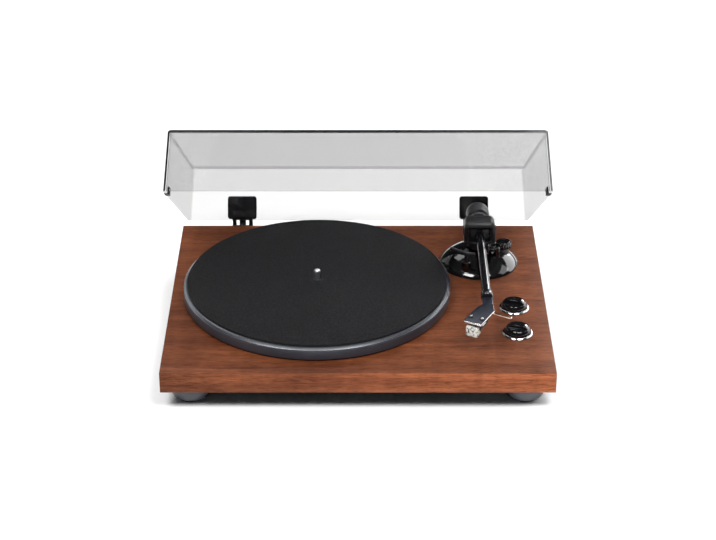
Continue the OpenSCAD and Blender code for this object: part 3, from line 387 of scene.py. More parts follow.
# Depth in metres and scale of the grain on each kind of surface
FAINT_GRAIN, THIN_GRAIN, SATIN_GRAIN = 0.000004, 0.00001, 0.00002
SOFT_GRAIN, MATT_GRAIN, SHEET_GRAIN, RUBBER_GRAIN = 0.00003, 0.00004, 0.00006, 0.00012
PORE_DEPTH, SPECKLE_DEPTH = 0.00006, 0.00025
GLOSS_SCALE, SHEET_SCALE, PLASTIC_SCALE, RUBBER_SCALE, METAL_SCALE = 500, 700, 900, 1100, 1500


def moulded(name, dark, light, rough, spread, grain_depth=THIN_GRAIN, grain_scale=PLASTIC_SCALE, **sockets):
    """Moulded or coated finish: slight colour drift, uneven gloss and a fine grain."""
    drift_scale, wear_scale = 18, 60
    made = Finish(name, **sockets)
    made.colour(made.ramp(made.noise(drift_scale, 3), (0.3, dark), (0.7, light)))
    made.roughness(made.spread(made.noise(wear_scale, 5), rough - spread, rough + spread))
    made.bump(made.noise(grain_scale, 2), grain_depth)
    return made.material


def metal(name, dark, light, rough, spread, grain_depth=THIN_GRAIN):
    return moulded(name, dark, light, rough, spread, grain_depth, METAL_SCALE, Metallic=1.0)


def turned_metal(name, dark, light, rough, spread, ring_depth, metallic):
    """Turned finish: fine rings round the spindle."""
    ring_scale, ring_detail, drift_scale = 1800, 3, 25
    made = Finish(name, Metallic=metallic)
    flat = (1, 1, 0)
    place = made.mapped(scale=flat, place=[-c * f for c, f in zip(at(*PLATTER, 0), flat)])
    length = made.node("ShaderNodeVectorMath", operation="LENGTH")
    made.wire(place, length.inputs[0])
    rings = made.node("ShaderNodeTexNoise", {"Scale": ring_scale, "Detail": ring_detail}, noise_dimensions="1D")
    made.wire(length.outputs["Value"], rings.inputs["W"])
    made.colour(made.ramp(made.noise(drift_scale, 3), (0.3, dark), (0.7, light)))
    made.roughness(made.spread(rings.outputs["Fac"], rough - spread, rough + spread))
    made.bump(rings.outputs["Fac"], ring_depth)
    return made.material


def stretched(along, with_grain, over_grain):
    """Scales for a pattern that is drawn out along one axis."""
    return tuple(with_grain if axis == along else over_grain for axis in AXES)


def veneer(name, along, left=1.0, right=1.0):
    """Reddish-brown veneer: long streaks with the grain, dark lines, fine pores and a wavy cross figure, times a
    left-to-right ramp that sets the tone and, where its ends differ, paints light and shade across the board.
    """
    made = Finish(name, Specular_IOR_Level=0.13)
    stretch = stretched(along, 1.6, 22)
    thin = tuple(3.2 * s for s in stretch)
    fine = tuple(9 * s for s in stretch)
    streaks = made.noise(2.2, 6, 0.66, made.mapped(stretch), 0.6)
    lines = made.noise(4, 4, 0.6, made.mapped(thin), 0.9)
    pores = made.noise(6, 4, 0.7, made.mapped(fine))
    figure = made.noise(1.0, 2, 0.45, made.mapped(stretched(along, 30, 4)), 1.4)
    broad = made.noise(5, 2)
    wood = made.ramp(
        streaks,
        (0.22, (0.100, 0.028, 0.0105)), (0.42, (0.160, 0.048, 0.0190)),
        (0.56, (0.215, 0.067, 0.027)), (0.78, (0.290, 0.096, 0.040)),
    )
    pore_shade = made.ramp(pores, (0.36, (0.40, 0.35, 0.33)), (0.54, grey(1.0)))
    line_shade = made.ramp(lines, (0.34, (0.74, 0.70, 0.68)), (0.50, grey(1.0)), (0.66, grey(1.10)))
    figure_shade = made.ramp(figure, (0.32, (0.88, 0.86, 0.85)), (0.68, grey(1.10)))
    broad_shade = made.ramp(broad, (0.3, (0.86, 0.84, 0.82)), (0.7, grey(1.1)))
    tone_and_painted_light = made.across(PLINTH_HALF_WIDTH, left, right)
    shade = made.multiply(0.85, wood, pore_shade)
    for tone in (line_shade, figure_shade, broad_shade, tone_and_painted_light):
        shade = made.multiply(1.0, shade, tone)
    made.colour(shade)
    made.roughness(made.spread(pores, 0.52, 0.38))
    made.bump(pores, PORE_DEPTH, 0.6)
    return made.material


WOOD = veneer("walnut_long", "X", 0.82, 0.85)
WOOD_SIDE = veneer("walnut_side", "Y")
# The front is painted much lighter towards its right end, as painted light falling from the right.
WOOD_FRONT_LIT = veneer("walnut_front_painted_light", "X", 0.9, 2.1)
# The rounded top edges at the sides and back are painted much darker, as a painted shade line along them.
WOOD_EDGE_SHADE = veneer("walnut_edge_painted_shade", "X", 0.20, 0.20)

# Each row: name, darkest and lightest colour, roughness and its spread, then the grain
GLOSS = moulded("piano_black", (0.004, 0.004, 0.0045), (0.007, 0.007, 0.008), 0.085, 0.03,
                FAINT_GRAIN, GLOSS_SCALE, Coat_Weight=0.5, Coat_Roughness=0.03)
SATIN = moulded("satin_black", (0.012, 0.012, 0.014), (0.020, 0.020, 0.023), 0.34, 0.06, SATIN_GRAIN)
MATT = moulded("matt_black", (0.010, 0.010, 0.011), (0.017, 0.017, 0.019), 0.52, 0.08, MATT_GRAIN)
ARM_BLACK = moulded("arm_black", (0.007, 0.007, 0.009), (0.012, 0.012, 0.015), 0.10, 0.03, Metallic=0.2)
FOOT_GREY = moulded("foot_grey", (0.060, 0.062, 0.072), (0.085, 0.087, 0.100), 0.24, 0.07, SOFT_GRAIN)
COVER_BLACK = moulded("coated_sheet", (0.014, 0.014, 0.015), (0.022, 0.022, 0.024), 0.45, 0.09,
                      SHEET_GRAIN, SHEET_SCALE)
RUBBER = moulded("rubber", (0.012, 0.012, 0.013), (0.022, 0.022, 0.023), 0.72, 0.08, RUBBER_GRAIN, RUBBER_SCALE)
BOARD = moulded("board_green", (0.015, 0.095, 0.040), (0.030, 0.150, 0.070), 0.36, 0.08, MATT_GRAIN)
WHITE = moulded("collar_white", (0.70, 0.69, 0.66), (0.80, 0.79, 0.76), 0.28, 0.06)
RED = moulded("collar_red", (0.36, 0.010, 0.012), (0.50, 0.022, 0.025), 0.28, 0.06)
TIP_RED = moulded("tip_red", (0.16, 0.012, 0.010), (0.26, 0.025, 0.020), 0.30, 0.06)
MARKS = moulded("dial_marks", (0.72, 0.72, 0.71), (0.82, 0.82, 0.80), 0.5, 0.08)
REST_GREY = moulded("rest_grey", (0.10, 0.10, 0.11), (0.14, 0.14, 0.15), 0.30, 0.06, Metallic=0.3)
SLATE = moulded("slate_shell", (0.020, 0.023, 0.034), (0.032, 0.036, 0.050), 0.30, 0.06, SATIN_GRAIN, Metallic=0.5)
STEEL = metal("plain_steel", (0.48, 0.48, 0.49), (0.60, 0.60, 0.61), 0.27, 0.07)
BRIGHT = metal("bright_screw", (0.78, 0.78, 0.79), (0.88, 0.88, 0.88), 0.18, 0.05)
BRONZE = metal("bronze", (0.42, 0.27, 0.11), (0.55, 0.37, 0.17), 0.30, 0.08)
JACK_BRASS = metal("jack_brass", (0.70, 0.54, 0.26), (0.80, 0.64, 0.34), 0.20, 0.05)
COPPER = metal("warm_plate", (0.62, 0.42, 0.32), (0.72, 0.52, 0.41), 0.24, 0.06)
SHELL_EDGE = metal("shell_edge", (0.62, 0.57, 0.56), (0.72, 0.67, 0.66), 0.24, 0.06)
CHROME = metal("chrome", (0.50, 0.50, 0.51), (0.58, 0.58, 0.59), 0.14, 0.03, FAINT_GRAIN)
PLATTER_SLATE = turned_metal("platter_slate", (0.050, 0.054, 0.069), (0.070, 0.075, 0.093), 0.40, 0.07,
                             0.000006, 0.35)
PLATTER_BEVEL = turned_metal("platter_bevel", (0.20, 0.21, 0.23), (0.27, 0.28, 0.30), 0.28, 0.06, 0.000003, 1.0)
SPINDLE_STEEL = turned_metal("spindle_steel", (0.78, 0.78, 0.79), (0.86, 0.86, 0.87), 0.30, 0.05, 0.000003, 1.0)


def mat_rubber():
    """Plain mat: a mottled tone under a fine grain."""
    made = Finish("mat_rubber", Specular_IOR_Level=0.15)
    mottle = made.noise(55, 5, 0.65)
    speckle = made.noise(620, 3, 0.7)
    tone = made.ramp(mottle, (0.3, (0.0077, 0.0077, 0.0085)), (0.7, (0.0101, 0.0101, 0.0110)))
    speckle_shade = made.ramp(speckle, (0.36, grey(0.45)), (0.66, (1.75, 1.75, 1.77)))
    made.colour(made.multiply(1.0, tone, speckle_shade))
    made.roughness(made.spread(mottle, 0.72, 0.88))
    made.bump(speckle, SPECKLE_DEPTH, 0.7)
    return made.material


def clear_acrylic(name, tint_and_shade):
    """Clear lid wall: see-through, with a faint drift of its tint and fine rub marks; the tint of each wall also
    holds painted shade for how dark that wall looks at its angle.
    """
    tint_drift, clean, rubbed = 0.006, 0.008, 0.05
    made = Finish(name, Transmission_Weight=1.0, IOR=1.0, Coat_Weight=0.015, Coat_Roughness=0.04)
    made.colour(made.ramp(made.noise(4, 2), (0.3, grey(tint_and_shade - tint_drift)), (0.7, grey(tint_and_shade + tint_drift))))
    rubs = made.noise(3, 6, 0.75, made.mapped((2, 60, 2)))
    made.roughness(made.ramp(rubs, (0.55, grey(clean)), (0.85, grey(rubbed))))
    return made.material


def lid_edge_shade_and_glint():
    """Rounded front edges of the lid: smoky and painted near black as painted shade, and paler only at the right
    end as a painted highlight.
    """
    made = Finish("lid_edge_shade_and_glint", IOR=1.3)
    reach = made.across(205, 0.0, 1.0)
    uneven = made.math("ADD", reach, made.math("MULTIPLY", made.noise(30, 2), 0.04))
    made.colour(made.ramp(
        uneven,
        (0.0, (0.004, 0.004, 0.005)), (0.93, (0.008, 0.008, 0.010)), (1.0, (0.09, 0.09, 0.095)),
    ))
    made.roughness(made.spread(made.noise(80, 3), 0.22, 0.34))
    return made.material


def cream_plastic():
    """Pale guard with darker spots moulded in."""
    made = Finish("cream_guard", Transmission_Weight=0.2, IOR=1.5, Subsurface_Weight=0.2,
                  Subsurface_Radius=(0.004, 0.003, 0.002), Subsurface_Scale=1.0)
    spots = made.noise(300, 2)
    made.colour(made.ramp(spots, (0.40, (0.11, 0.105, 0.095)), (0.52, (0.78, 0.76, 0.70))))
    made.roughness(made.spread(made.noise(120, 3), 0.16, 0.30))
    made.bump(spots, MATT_GRAIN)
    return made.material


MAT = mat_rubber()
# Each wall gets its own grey, painted shade that makes the top and sides darker than the front as they look at
# their angles.
CLEAR_FRONT_SHADED = clear_acrylic("clear_front_tint_and_shade", 0.76)
CLEAR_TOP_SHADED = clear_acrylic("clear_top_tint_and_shade", 0.48)
CLEAR_REAR_SHADED = clear_acrylic("clear_rear_tint_and_shade", 0.61)
CLEAR_SIDE_SHADED = clear_acrylic("clear_side_tint_and_shade", 0.46)
# The rounded top edges get a dark grey as a painted shade line.
CLEAR_EDGE_SHADE = clear_acrylic("clear_edge_painted_shade", 0.28)
LID_EDGE_SHADE_AND_GLINT = lid_edge_shade_and_glint()
CREAM = cream_plastic()


def paint(piece, material):
    piece.data.materials.clear()
    piece.data.materials.append(material)
    return piece


def paint_faces(piece, finishes, pick):
    """Gives each face the finish whose name pick() returns for its centre and normal."""
    piece.data.materials.clear()
    for material in finishes.values():
        piece.data.materials.append(material)
    names = list(finishes)
    for face in piece.data.polygons:
        face.material_index = names.index(pick(face.center, face.normal))
    return piece


def fit(piece, material, body, slot, *nodes):
    """Paints a piece unless it is painted, hangs it on its body and lets it stand for its nodes."""
    if material is not None:
        paint(piece, material)
    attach(piece, body)
    if nodes:
        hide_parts(*nodes)
    return piece


# Plinth: a board with a cross-shaped pocket sunk into its underside and a notch for the jack plate
def make_plinth():
    wide, narrow = 190, 146
    deep, shallow = 150, 101
    pocket_height, notch_half, notch_top, edge_round = 13, 52, -10, 1.6
    width, depth, thick = PLINTH_HALF_WIDTH, PLINTH_HALF_DEPTH, PLINTH_THICK
    plinth = block("veneered_plinth", (-width, -depth, -thick), (width, depth, 0))
    edit(plinth)
    for x in (-wide, -narrow, narrow, wide):
        slice_all(at(x, 0, 0), AXES["X"])
    for y in (-deep, -shallow, shallow, deep):
        slice_all(at(0, y, 0), AXES["Y"])
    middle = at(0, 0, 0)

    def in_pocket(centre, normal):
        x, y = abs(centre.x) / MM, abs(centre.y - middle.y) / MM
        return normal.z < -0.5 and ((x < narrow and y < deep) or (x < wide and y < shallow))

    select_faces(plinth, in_pocket)
    bpy.ops.mesh.extrude_region_move(TRANSFORM_OT_translate={"value": (0, 0, pocket_height * MM)})
    clean_up()
    cut_away(plinth, block("notch", (-notch_half, deep - 1, -thick - 1), (notch_half, depth + 1, notch_top)))
    soften(plinth, edge_round, 3, 40)
    front, edge_foot = at(0, 0.1 - depth, 0).y, at(0, 0, -edge_round - 0.2).z

    def wood_of(centre, normal):
        rounded = 0.1 < normal.z < 0.95 and centre.z > edge_foot
        # Rounded top edges, except at the front, take the painted shade edge veneer.
        if rounded and centre.y > front + MM:
            return "edge"
        if abs(normal.x) > 0.8:
            return "side"
        if normal.y < -0.8 and centre.y < front:
            return "front"
        return "under" if normal.z < -0.8 else "top"

    woods = {"top": WOOD, "side": WOOD_SIDE, "front": WOOD_FRONT_LIT, "edge": WOOD_EDGE_SHADE, "under": MATT}
    done(paint_faces(plinth, woods, wood_of), 40)
    fit(plinth, None, "plinth", "walnut", "plinth_board")


# Feet: a turned bowl with a groove under its upper band
def make_feet():
    sole, bowl_r, bowl_out = 1.5, 17.0, 6.6
    bowl_top, bowl_rise, height = 20.0, 17.6, 24.0
    bowl_angles = [radians(a) for a in range(12, 85, 12)]
    profile = [(0, sole), (15.1, sole), (16.2, sole), (bowl_r, 2.0)]
    profile += [(bowl_r + bowl_out * sin(a), bowl_top - bowl_rise * cos(a)) for a in bowl_angles]
    profile += [(23.4, 20.3), (23.4, 20.9), (24.0, 21.3), (24.0, 23.6), (23.6, height), (0, height)]
    place = (-FOOT_SIDE, -FOOT_FRONT, -DECK_HEIGHT)
    foot = turn("foot_bowl_front_left", profile, place, steps=72)
    paint(done(foot, 40), FOOT_GREY)
    across, back = 2 * FOOT_SIDE, 2 * FOOT_FRONT
    shifts = {"front_right": (across, 0, 0), "rear_left": (0, back, 0), "rear_right": (across, back, 0)}
    feet = {"front_left": foot}
    for corner, shift in shifts.items():
        feet[corner] = copy_of(foot, "foot_bowl_" + corner, shift)
    for corner, bowl in feet.items():
        fit(bowl, None, "plinth", "grey_plastic", "foot_" + corner)


# Platter with its bevelled rim, inner belt ring and hub
def make_platter():
    rim = [(143.0, 1.5), (149.2, 1.5), (149.8, 1.9), (150.0, 2.6), (150.0, 12.0), (149.5, 12.3), (149.5, 12.75),
           (150.0, 13.0), (149.9, 13.4), (147.5, 15.3), (147.0, PLATTER_TOP), (146.8, PLATTER_TOP)]
    hub = [(6.2, PLATTER_TOP), (6.2, 5.0), (13.8, 5.0), (14.0, 5.2), (14.0, 10.5)]
    belt_ring = [(71.0, 10.5), (71.0, 3.2), (71.3, 3.0), (74.7, 3.0), (75.0, 3.2), (75.0, 10.5)]
    skirt = [(142.0, 10.5), (142.0, 2.4)]
    platter = turn("platter_disc", rim + hub + belt_ring + skirt, (*PLATTER, 0), steps=192)
    bevel_foot = at(0, 0, 12.9).z

    def alloy_of(centre, normal):
        return "bevel" if centre.z > bevel_foot and 0.3 < normal.z < 0.97 else "plain"

    done(paint_faces(platter, {"plain": PLATTER_SLATE, "bevel": PLATTER_BEVEL}, alloy_of), 28)
    fit(platter, None, "platter_body", "slate_alloy", "platter")


def make_mat():
    rim = [(145.4, PLATTER_TOP), (145.9, 15.9), (146.0, 16.6), (146.0, 17.6), (145.7, 18.2), (145.0, MAT_TOP)]
    hole = [(4.75, MAT_TOP), (4.6, 18.3), (4.6, PLATTER_TOP)]
    mat = turn("record_mat", rim + hole, (*PLATTER, 0), steps=160)
    fit(done(mat, 30), MAT, "platter_body", "black_rubber", "platter_mat")


# Spindle: bearing shaft, flange under the platter and a rounded tip
def make_spindle():
    foot, tip_r, tip_foot, tip_rise = -22.97, 3.6, 28.12, 2.88
    shaft = [(0, foot), (3.6, foot), (4.0, -22.5), (4.0, 2.8)]
    flange = [(11.0, 2.8), (11.0, 4.8), (6.0, 4.8), (6.0, PLATTER_TOP)]
    neck = [(4.4, PLATTER_TOP), (4.4, 18.3), (4.2, MAT_TOP), (tip_r, MAT_TOP)]
    tip_angles = [radians(a) for a in range(0, 91, 9)]
    tip = [(tip_r * cos(a), tip_foot + tip_rise * sin(a)) for a in tip_angles]
    spindle = turn("centre_spindle", shaft + flange + neck + tip, (*PLATTER, 0), steps=48)
    shoulder = at(0, 0, MAT_TOP + 0.1).z

    # Below the mat's top, the shoulder seen in the mat's hole included, the spindle is painted matt black as
    # painted shade.
    def steel_of(centre, normal):
        return "hidden" if centre.z < shoulder else "bright"

    done(paint_faces(spindle, {"bright": SPINDLE_STEEL, "hidden": MATT}, steel_of), 40)
    fit(spindle, None, "platter_body", "steel", "spindle")


# Control knobs: low domes with a grip bar left between two flats, each in a bright ring
def make_knobs():
    foot, top, rounding = 14.4, 10.5, 8.4
    bar_half, shelf, cut_reach, cut_height = 3.0, 7.5, 16, 5
    stem_r, stem_foot, stem_top = 3, -17, 1.5
    dome = [(0, 0.6), (foot - 0.4, 0.6), (foot, 1.0)]
    dome += arc(foot - rounding, top - rounding, rounding, 0, 90, 12) + [(0, top)]
    flat = [(-cut_reach, bar_half), (cut_reach, bar_half), (cut_reach, cut_reach), (-cut_reach, cut_reach)]
    ring = [(14.8, 0), (16.8, 0), (17.0, 0.2), (17.0, 0.7), (16.8, 1.0), (15.8, 1.95), (15.4, 2.2), (15.0, 2.2),
            (14.8, 2.0)]
    rings = []
    for which, front in KNOB_FRONTS.items():
        place = (KNOB_X, -front, 0)
        knob = turn(which + "_knob_body", dome, place)
        for side in (-15, 165):
            corners = turned(flat, radians(side))
            outline = [at(KNOB_X + u, -front + v, shelf) for u, v in corners]
            cut_away(knob, slab("flat", outline, (0, 0, cut_height)))
        soften(knob, 0.45, 3, 40)
        join(knob, round_pin(which + "_stem", stem_r, stem_foot, stem_top, place, 32))
        fit(done(knob), GLOSS, which + "_body", "gloss_black", which + "_knob")
        rings.append(turn(which + "_bezel", ring, place))
    bezels = join(*rings)
    bezels.name = "bright_bezels"
    fit(done(bezels, 40), CHROME, "plinth", "bright_chrome", "knob_rings")


# Domed arm base with its lift sleeve, cue bearing and anti-skate pedestal
def make_arm_base():
    x, y = ARM
    neck_r, foot_height, wall = 16, 1, 3
    reach, rise, bulge = 29.5, 19, 1.5
    bore, pin_bore = 11.05, 2.05

    def flank(out, up, angle):
        cos_a, sin_a = max(0.0, cos(radians(angle))), sin(radians(angle))
        return neck_r + out * cos_a ** bulge, foot_height + up * sin_a ** bulge

    outer = [(45.0, 0), (45.5, 0.4)] + [flank(reach, rise, a) for a in range(0, 91, 5)]
    inner = [flank(reach - wall, rise - wall, a) for a in range(90, -1, -15)]
    neck = [(11.3, 20), (bore, 19.7), (bore, 17)]
    dome = turn("arm_dome", outer + neck + inner + [(42.5, 0)], (x, y, 0), steps=144)
    sleeve_line = [(pin_bore, 5), (4.5, 5), (4.5, 17.4), (3.9, 18), (2.3, 18), (pin_bore, 17.8)]
    sleeve = turn("sleeve", sleeve_line, (*LIFT_POST, 0), steps=40)
    bearing = soften(block("cue_bearing", (x + 17.8, y - 19, 13), (x + 22.8, y - 11, 27)), 1.0)
    pedestal_line = [(pin_bore, 9), (6.5, 9), (6.5, 19.4), (5.9, 20), (2.3, 20), (pin_bore, 19.8)]
    pedestal = turn("pedestal", pedestal_line, (*SKATE, 0), steps=48)
    for piece in (dome, sleeve, bearing):
        paint(piece, GLOSS)
    join(dome, sleeve, bearing)
    join(dome, paint(pedestal, REST_GREY))
    fit(done(dome), None, "plinth", "gloss_black", "arm_base")


# Arm rest: a post with a fork whose right-hand cheek stands up beside the tube
def make_arm_rest():
    x, y = ARM
    post_r, post_top, post_right, post_front = 3, 32.5, 4, 40
    fork_front, fork_depth, under = 43, 6, TUBE_UNDER
    post = round_pin("arm_rest_fork", post_r, 0, post_top, (x + post_right, y - post_front, 0), 40)
    side = [(-4.2, under - 2.7), (8.8, under - 2.7), (8.8, under + 9), (5.8, under + 9), (5.8, under + 1.3),
            (5.0, under), (-4.2, under)]
    fork = slab("fork", [at(x + u, y - fork_front, w) for u, w in side], (0, fork_depth, 0))
    join(post, soften(fork, 0.7, 3, 35))
    fit(done(post, 40), ARM_BLACK, "plinth", "grey_alloy", "arm_rest")


# Cueing lift: a curved bar under the tube on a stem that slides in the base's sleeve
def make_lift():
    x, y = ARM
    bar_far, bar_near, bar_thick = 46, 42, 4.5
    bar_from, bar_to, bar_steps = -140, -99, 24
    stem_r, stem_foot, stem_top = 2, 5, TUBE_UNDER - 0.6
    neck_under, neck_thick = TUBE_UNDER - 4.0, 3.6
    bar_line = arc(0, 0, bar_far, bar_from, bar_to, bar_steps) + arc(0, 0, bar_near, bar_to, bar_from, bar_steps)
    bar = slab("lift_bar", [at(x + u, y + v, TUBE_UNDER - bar_thick) for u, v in bar_line], (0, 0, bar_thick))
    soften(bar, 0.9, 3, 40)
    stem_line = [(0, stem_foot), (stem_r, stem_foot), (stem_r, stem_top - 0.4), (1.6, stem_top), (0, stem_top)]
    stem = turn("lift_stem", stem_line, (*LIFT_POST, 0), steps=32)
    neck_line = turned([(-2, -35), (2, -35), (2, -43), (-2, -43)], -LIFT_ANGLE)
    neck = slab("lift_neck", [at(x + u, y + v, neck_under) for u, v in neck_line], (0, 0, neck_thick))
    join(bar, stem, soften(neck, 0.5, 2, 40))
    fit(done(bar, 40), SATIN, "lift_body", "black_plastic", "lift_platform")


# Cue lever: a shaft in the base's bearing with a sloping paddle
def make_cue_lever():
    x, y, z = ARM[0], ARM[1] - 15, 24
    inner_end, paddle_width, slope = 11, 6.5, radians(25)
    hub = [(0, inner_end), (2.8, inner_end), (3.2, 11.4), (3.2, 17.1), (2.8, 17.5), (2.0, 17.5), (2.0, 22.4),
           (1.6, 22.8), (0, 22.8)]
    lever = turn("cue_paddle", hub, (x, y, z), "X", 40)
    side = [(1.5, -1.25), (-14.5, -1.25), (-16.4, -0.8), (-17.6, 0.2), (-17.9, 1.3), (-17.0, 1.5), (-15.5, 1.25),
            (1.5, 1.25)]
    outline = [at(x + inner_end, y + v, z + w) for v, w in turned(side, -slope)]
    join(lever, soften(slab("paddle", outline, (paddle_width, 0, 0)), 0.6, 3, 40))
    fit(done(lever, 40), GLOSS, "cue_body", "weight_black", "cue_lever")


# Anti-skate knob: a fluted dial with a cap and a pin
def make_anti_skate():
    x, y = SKATE
    dial_r, flute_depth, flutes, points = 9.0, 0.8, 16, 144
    dial_foot, dial_height = 20.3, 6.2
    outline = []
    for i in range(points):
        angle = radians(360 / points * i)
        radius = dial_r - flute_depth * (0.5 + 0.5 * cos(flutes * angle)) ** 3
        outline.append(at(x + radius * cos(angle), y + radius * sin(angle), dial_foot))
    knob = soften(slab("anti_skate_dial", outline, (0, 0, dial_height)), 0.7, 3, 60)
    cap_line = [(0, 26.2), (7.0, 26.2), (7.0, 26.8), (6.5, 27.3), (0, 27.3)]
    cap = turn("cap", cap_line, (x, y, 0), steps=48)
    join(knob, cap, round_pin("pin", 2, 12, 20.6, (x, y, 0), 24))
    fit(done(knob), GLOSS, "skate_body", "gloss_black", "anti_skate_knob")


# Yoke: a turret with an inverted U whose front edge slopes back
def make_yoke():
    x, y = ARM
    half, depth, gap = 18, 10, 13
    foot_under, foot_top, bow_foot = 28, 31, 28.4
    bow_under, bow_top, bow_slope = 48.5, 55, 2.6
    shoulder_in, shoulder_down = 6, 9
    turret = [(0, -11), (4, -11), (4, 22.3), (13.4, 22.3), (14, 22.9), (14, 30.4), (13.4, 31.0), (0, 31.0)]
    yoke = turn("bearing_yoke", turret, (x, y, 0), steps=72)
    foot = soften(block("yoke_foot", (x - half, y - depth, foot_under), (x + half, y + depth, foot_top)), 0.8)
    shoulder_angles = [radians(a) for a in range(0, 91, 15)]
    shoulder = [
        (half - shoulder_in * (1 - cos(a)), bow_top - shoulder_down * (1 - sin(a)))
        for a in shoulder_angles
    ]
    arch = [(-half, bow_foot), (-gap, bow_foot), (-gap, bow_under), (gap, bow_under), (gap, bow_foot)]
    arch.append((half, bow_foot))
    arch += shoulder + [(-u, w) for u, w in reversed(shoulder)]
    bow = slab("bow", [at(x + u, y - depth, w) for u, w in arch], (0, 2 * depth, 0))
    front, crest = at(0, y - depth, 0).y, at(0, 0, bow_under + 0.5).z

    def on_front_crest(a, b):
        return abs(a.y - front) < 1e-5 and abs(b.y - front) < 1e-5 and min(a.z, b.z) > crest

    round_edges(bow, on_front_crest, bow_slope, 1)
    soften(bow, 0.6, 3, 25)
    ring = [(2.1, 17.5), (6.0, 17.5), (6.0, 18.5), (5.6, 19.0), (4.2, 19.0), (3.8, 18.6), (2.1, 18.6)]
    bosses = [turn("boss", [(r, side * h) for r, h in ring], ARM_PIVOT, "X", 48) for side in (-1, 1)]
    join(yoke, foot, bow, *bosses)
    fit(done(yoke), SATIN, "yoke_body", "black_alloy", "arm_yoke")


# Arm: pivot block with its pivots and tail, and the tube
def make_arm():
    x, y, z = ARM_PIVOT
    wide, deep, high = 10, 8, 5.5
    core = soften(block("arm_core", (x - wide, y - deep, z - high), (x + wide, y + deep, z + high)), 1.2)
    half_pivot = [(5.5, 9.5), (5.5, 12.3), (5.2, 12.6), (2.0, 12.6), (2.0, 18.6), (1.6, 19.0), (0, 19.0)]
    pivot_line = [(r, -h) for r, h in reversed(half_pivot)] + half_pivot
    pivot = turn("pivot", pivot_line, ARM_PIVOT, "X", 40)
    tail_line = [(0, 0), (4.5, 0), (4.5, 52.4), (3.9, 53), (0, 53)]
    tail = turn("tail", tail_line, ARM_PIVOT, "Y", 40)
    join(core, pivot, tail)
    fit(done(core, 40), SATIN, "arm_body", "black_alloy", "arm_block")

    tube = [(4.0, -TUBE_END), (5.0, -TUBE_END), (5.0, -16)]
    clamp = [(5.0, -14.5), (5.5, -14.2), (5.5, -9.4), (5.2, -9.0), (5.0, -9.0)]
    wand = turn("arm_wand", tube + clamp + [(5.0, -3), (4.0, -3)], ARM_PIVOT, "Y", 64)
    fit(done(wand, 40), ARM_BLACK, "arm_body", "black_alloy", "arm_tube")


# Counterweight with grip grooves, and the force dial in front of it
def make_weight():
    weight_r, groove_r, groove_half = 13.5, 12.9, 0.5
    bore, dial_bore, dial_r, dial_front = 4.53, 8.03, 11.5, 19
    weight = [(bore, 19), (7.9, 19), (8.0, 19.2), (8.0, 25), (11.6, 25), (12.6, 25.5), (13.3, 26.6)]
    weight.append((weight_r, 28))
    for groove in (31, 33.5, 36, 38.5):
        weight += [(weight_r, groove - groove_half), (groove_r, groove), (weight_r, groove + groove_half)]
    weight += [(weight_r, 44), (13.2, 45.6), (12.4, 46.6), (11.2, 47), (5.2, 47), (bore, 46.4)]
    mass = turn("balance_weight", weight, ARM_PIVOT, "Y")
    fit(done(mass, 30), SATIN, "weight_body", "weight_black", "counterweight")

    ring = [(dial_bore, dial_front), (10.9, dial_front), (dial_r, 19.6), (dial_r, 24.2), (11.0, 24.7),
            (dial_bore, 24.7)]
    dial = done(turn("tracking_dial", ring, ARM_PIVOT, "Y"), 30)
    paint(dial, MATT)
    tick_count, tick_half, tick_proud, short, long = 30, 0.18, 0.06, 1.5, 2.6
    tick_place = at(ARM[0], ARM[1] + dial_front + 0.9, ARM_RISE)
    ticks = []
    for i in range(tick_count):
        length = long if i % 5 == 0 else short
        tick = block("tick", (-tick_half, 0, -tick_proud), (tick_half, length, tick_proud))
        carry(tick, at(0, 0, -dial_r), Matrix.Rotation(radians(360 / tick_count * i), 4, "Y"), tick_place)
        ticks.append(paint(tick, MARKS))
    join(dial, *ticks)
    fit(dial, None, "dial_body", "black_plastic", "force_dial")


# Headshell: a plate that bends off the tube's line, with a collar on the tube's end
def make_headshell():
    neck_half, neck_from, neck_to = 5.5, 158.5, 172.7
    plate_half, plate_end, corner = 10.5, 40.6, 1.2

    def plate_point(u, v):
        (across, along), = turned([(u, -v)], -SHELL_TURN)
        return at(ARM[0] + across, ARM[1] - SHELL_BEND + along, ARM_RISE + SHELL_UNDER)

    def neck_point(u, v):
        return at(ARM[0] + u, ARM[1] - v, ARM_RISE + SHELL_UNDER)

    outline = [
        neck_point(-neck_half, neck_from), neck_point(-neck_half, neck_to),
        plate_point(-8.0, 2.5), plate_point(-plate_half, 8.8),
        plate_point(-plate_half, plate_end - corner), plate_point(corner - plate_half, plate_end),
        plate_point(plate_half - corner, plate_end), plate_point(plate_half, plate_end - corner),
        plate_point(plate_half, 6.3), neck_point(neck_half, neck_to), neck_point(neck_half, neck_from),
    ]
    plate = soften(slab("shell_plate", outline, (0, 0, SHELL_TOP - SHELL_UNDER)), 0.55)
    shoulder = plate_point(0, 4).y

    def finish_of(centre, normal):
        return "edge" if abs(normal.z) < 0.8 and centre.y < shoulder else "face"

    paint_faces(plate, {"face": SLATE, "edge": SHELL_EDGE}, finish_of)
    socket = [(5.05, -TUBE_END), (5.05, -150), (5.9, -150), (6.5, -150.6), (6.7, -151.4), (6.7, -158.2),
              (6.4, -159.3), (5.6, -160), (0, -160), (0, -TUBE_END)]
    collar = turn("collar", socket, ARM_PIVOT, "Y", 56)
    join(plate, paint(collar, ARM_BLACK))
    fit(done(plate, 30), None, "arm_body", "slate_alloy", "headshell")


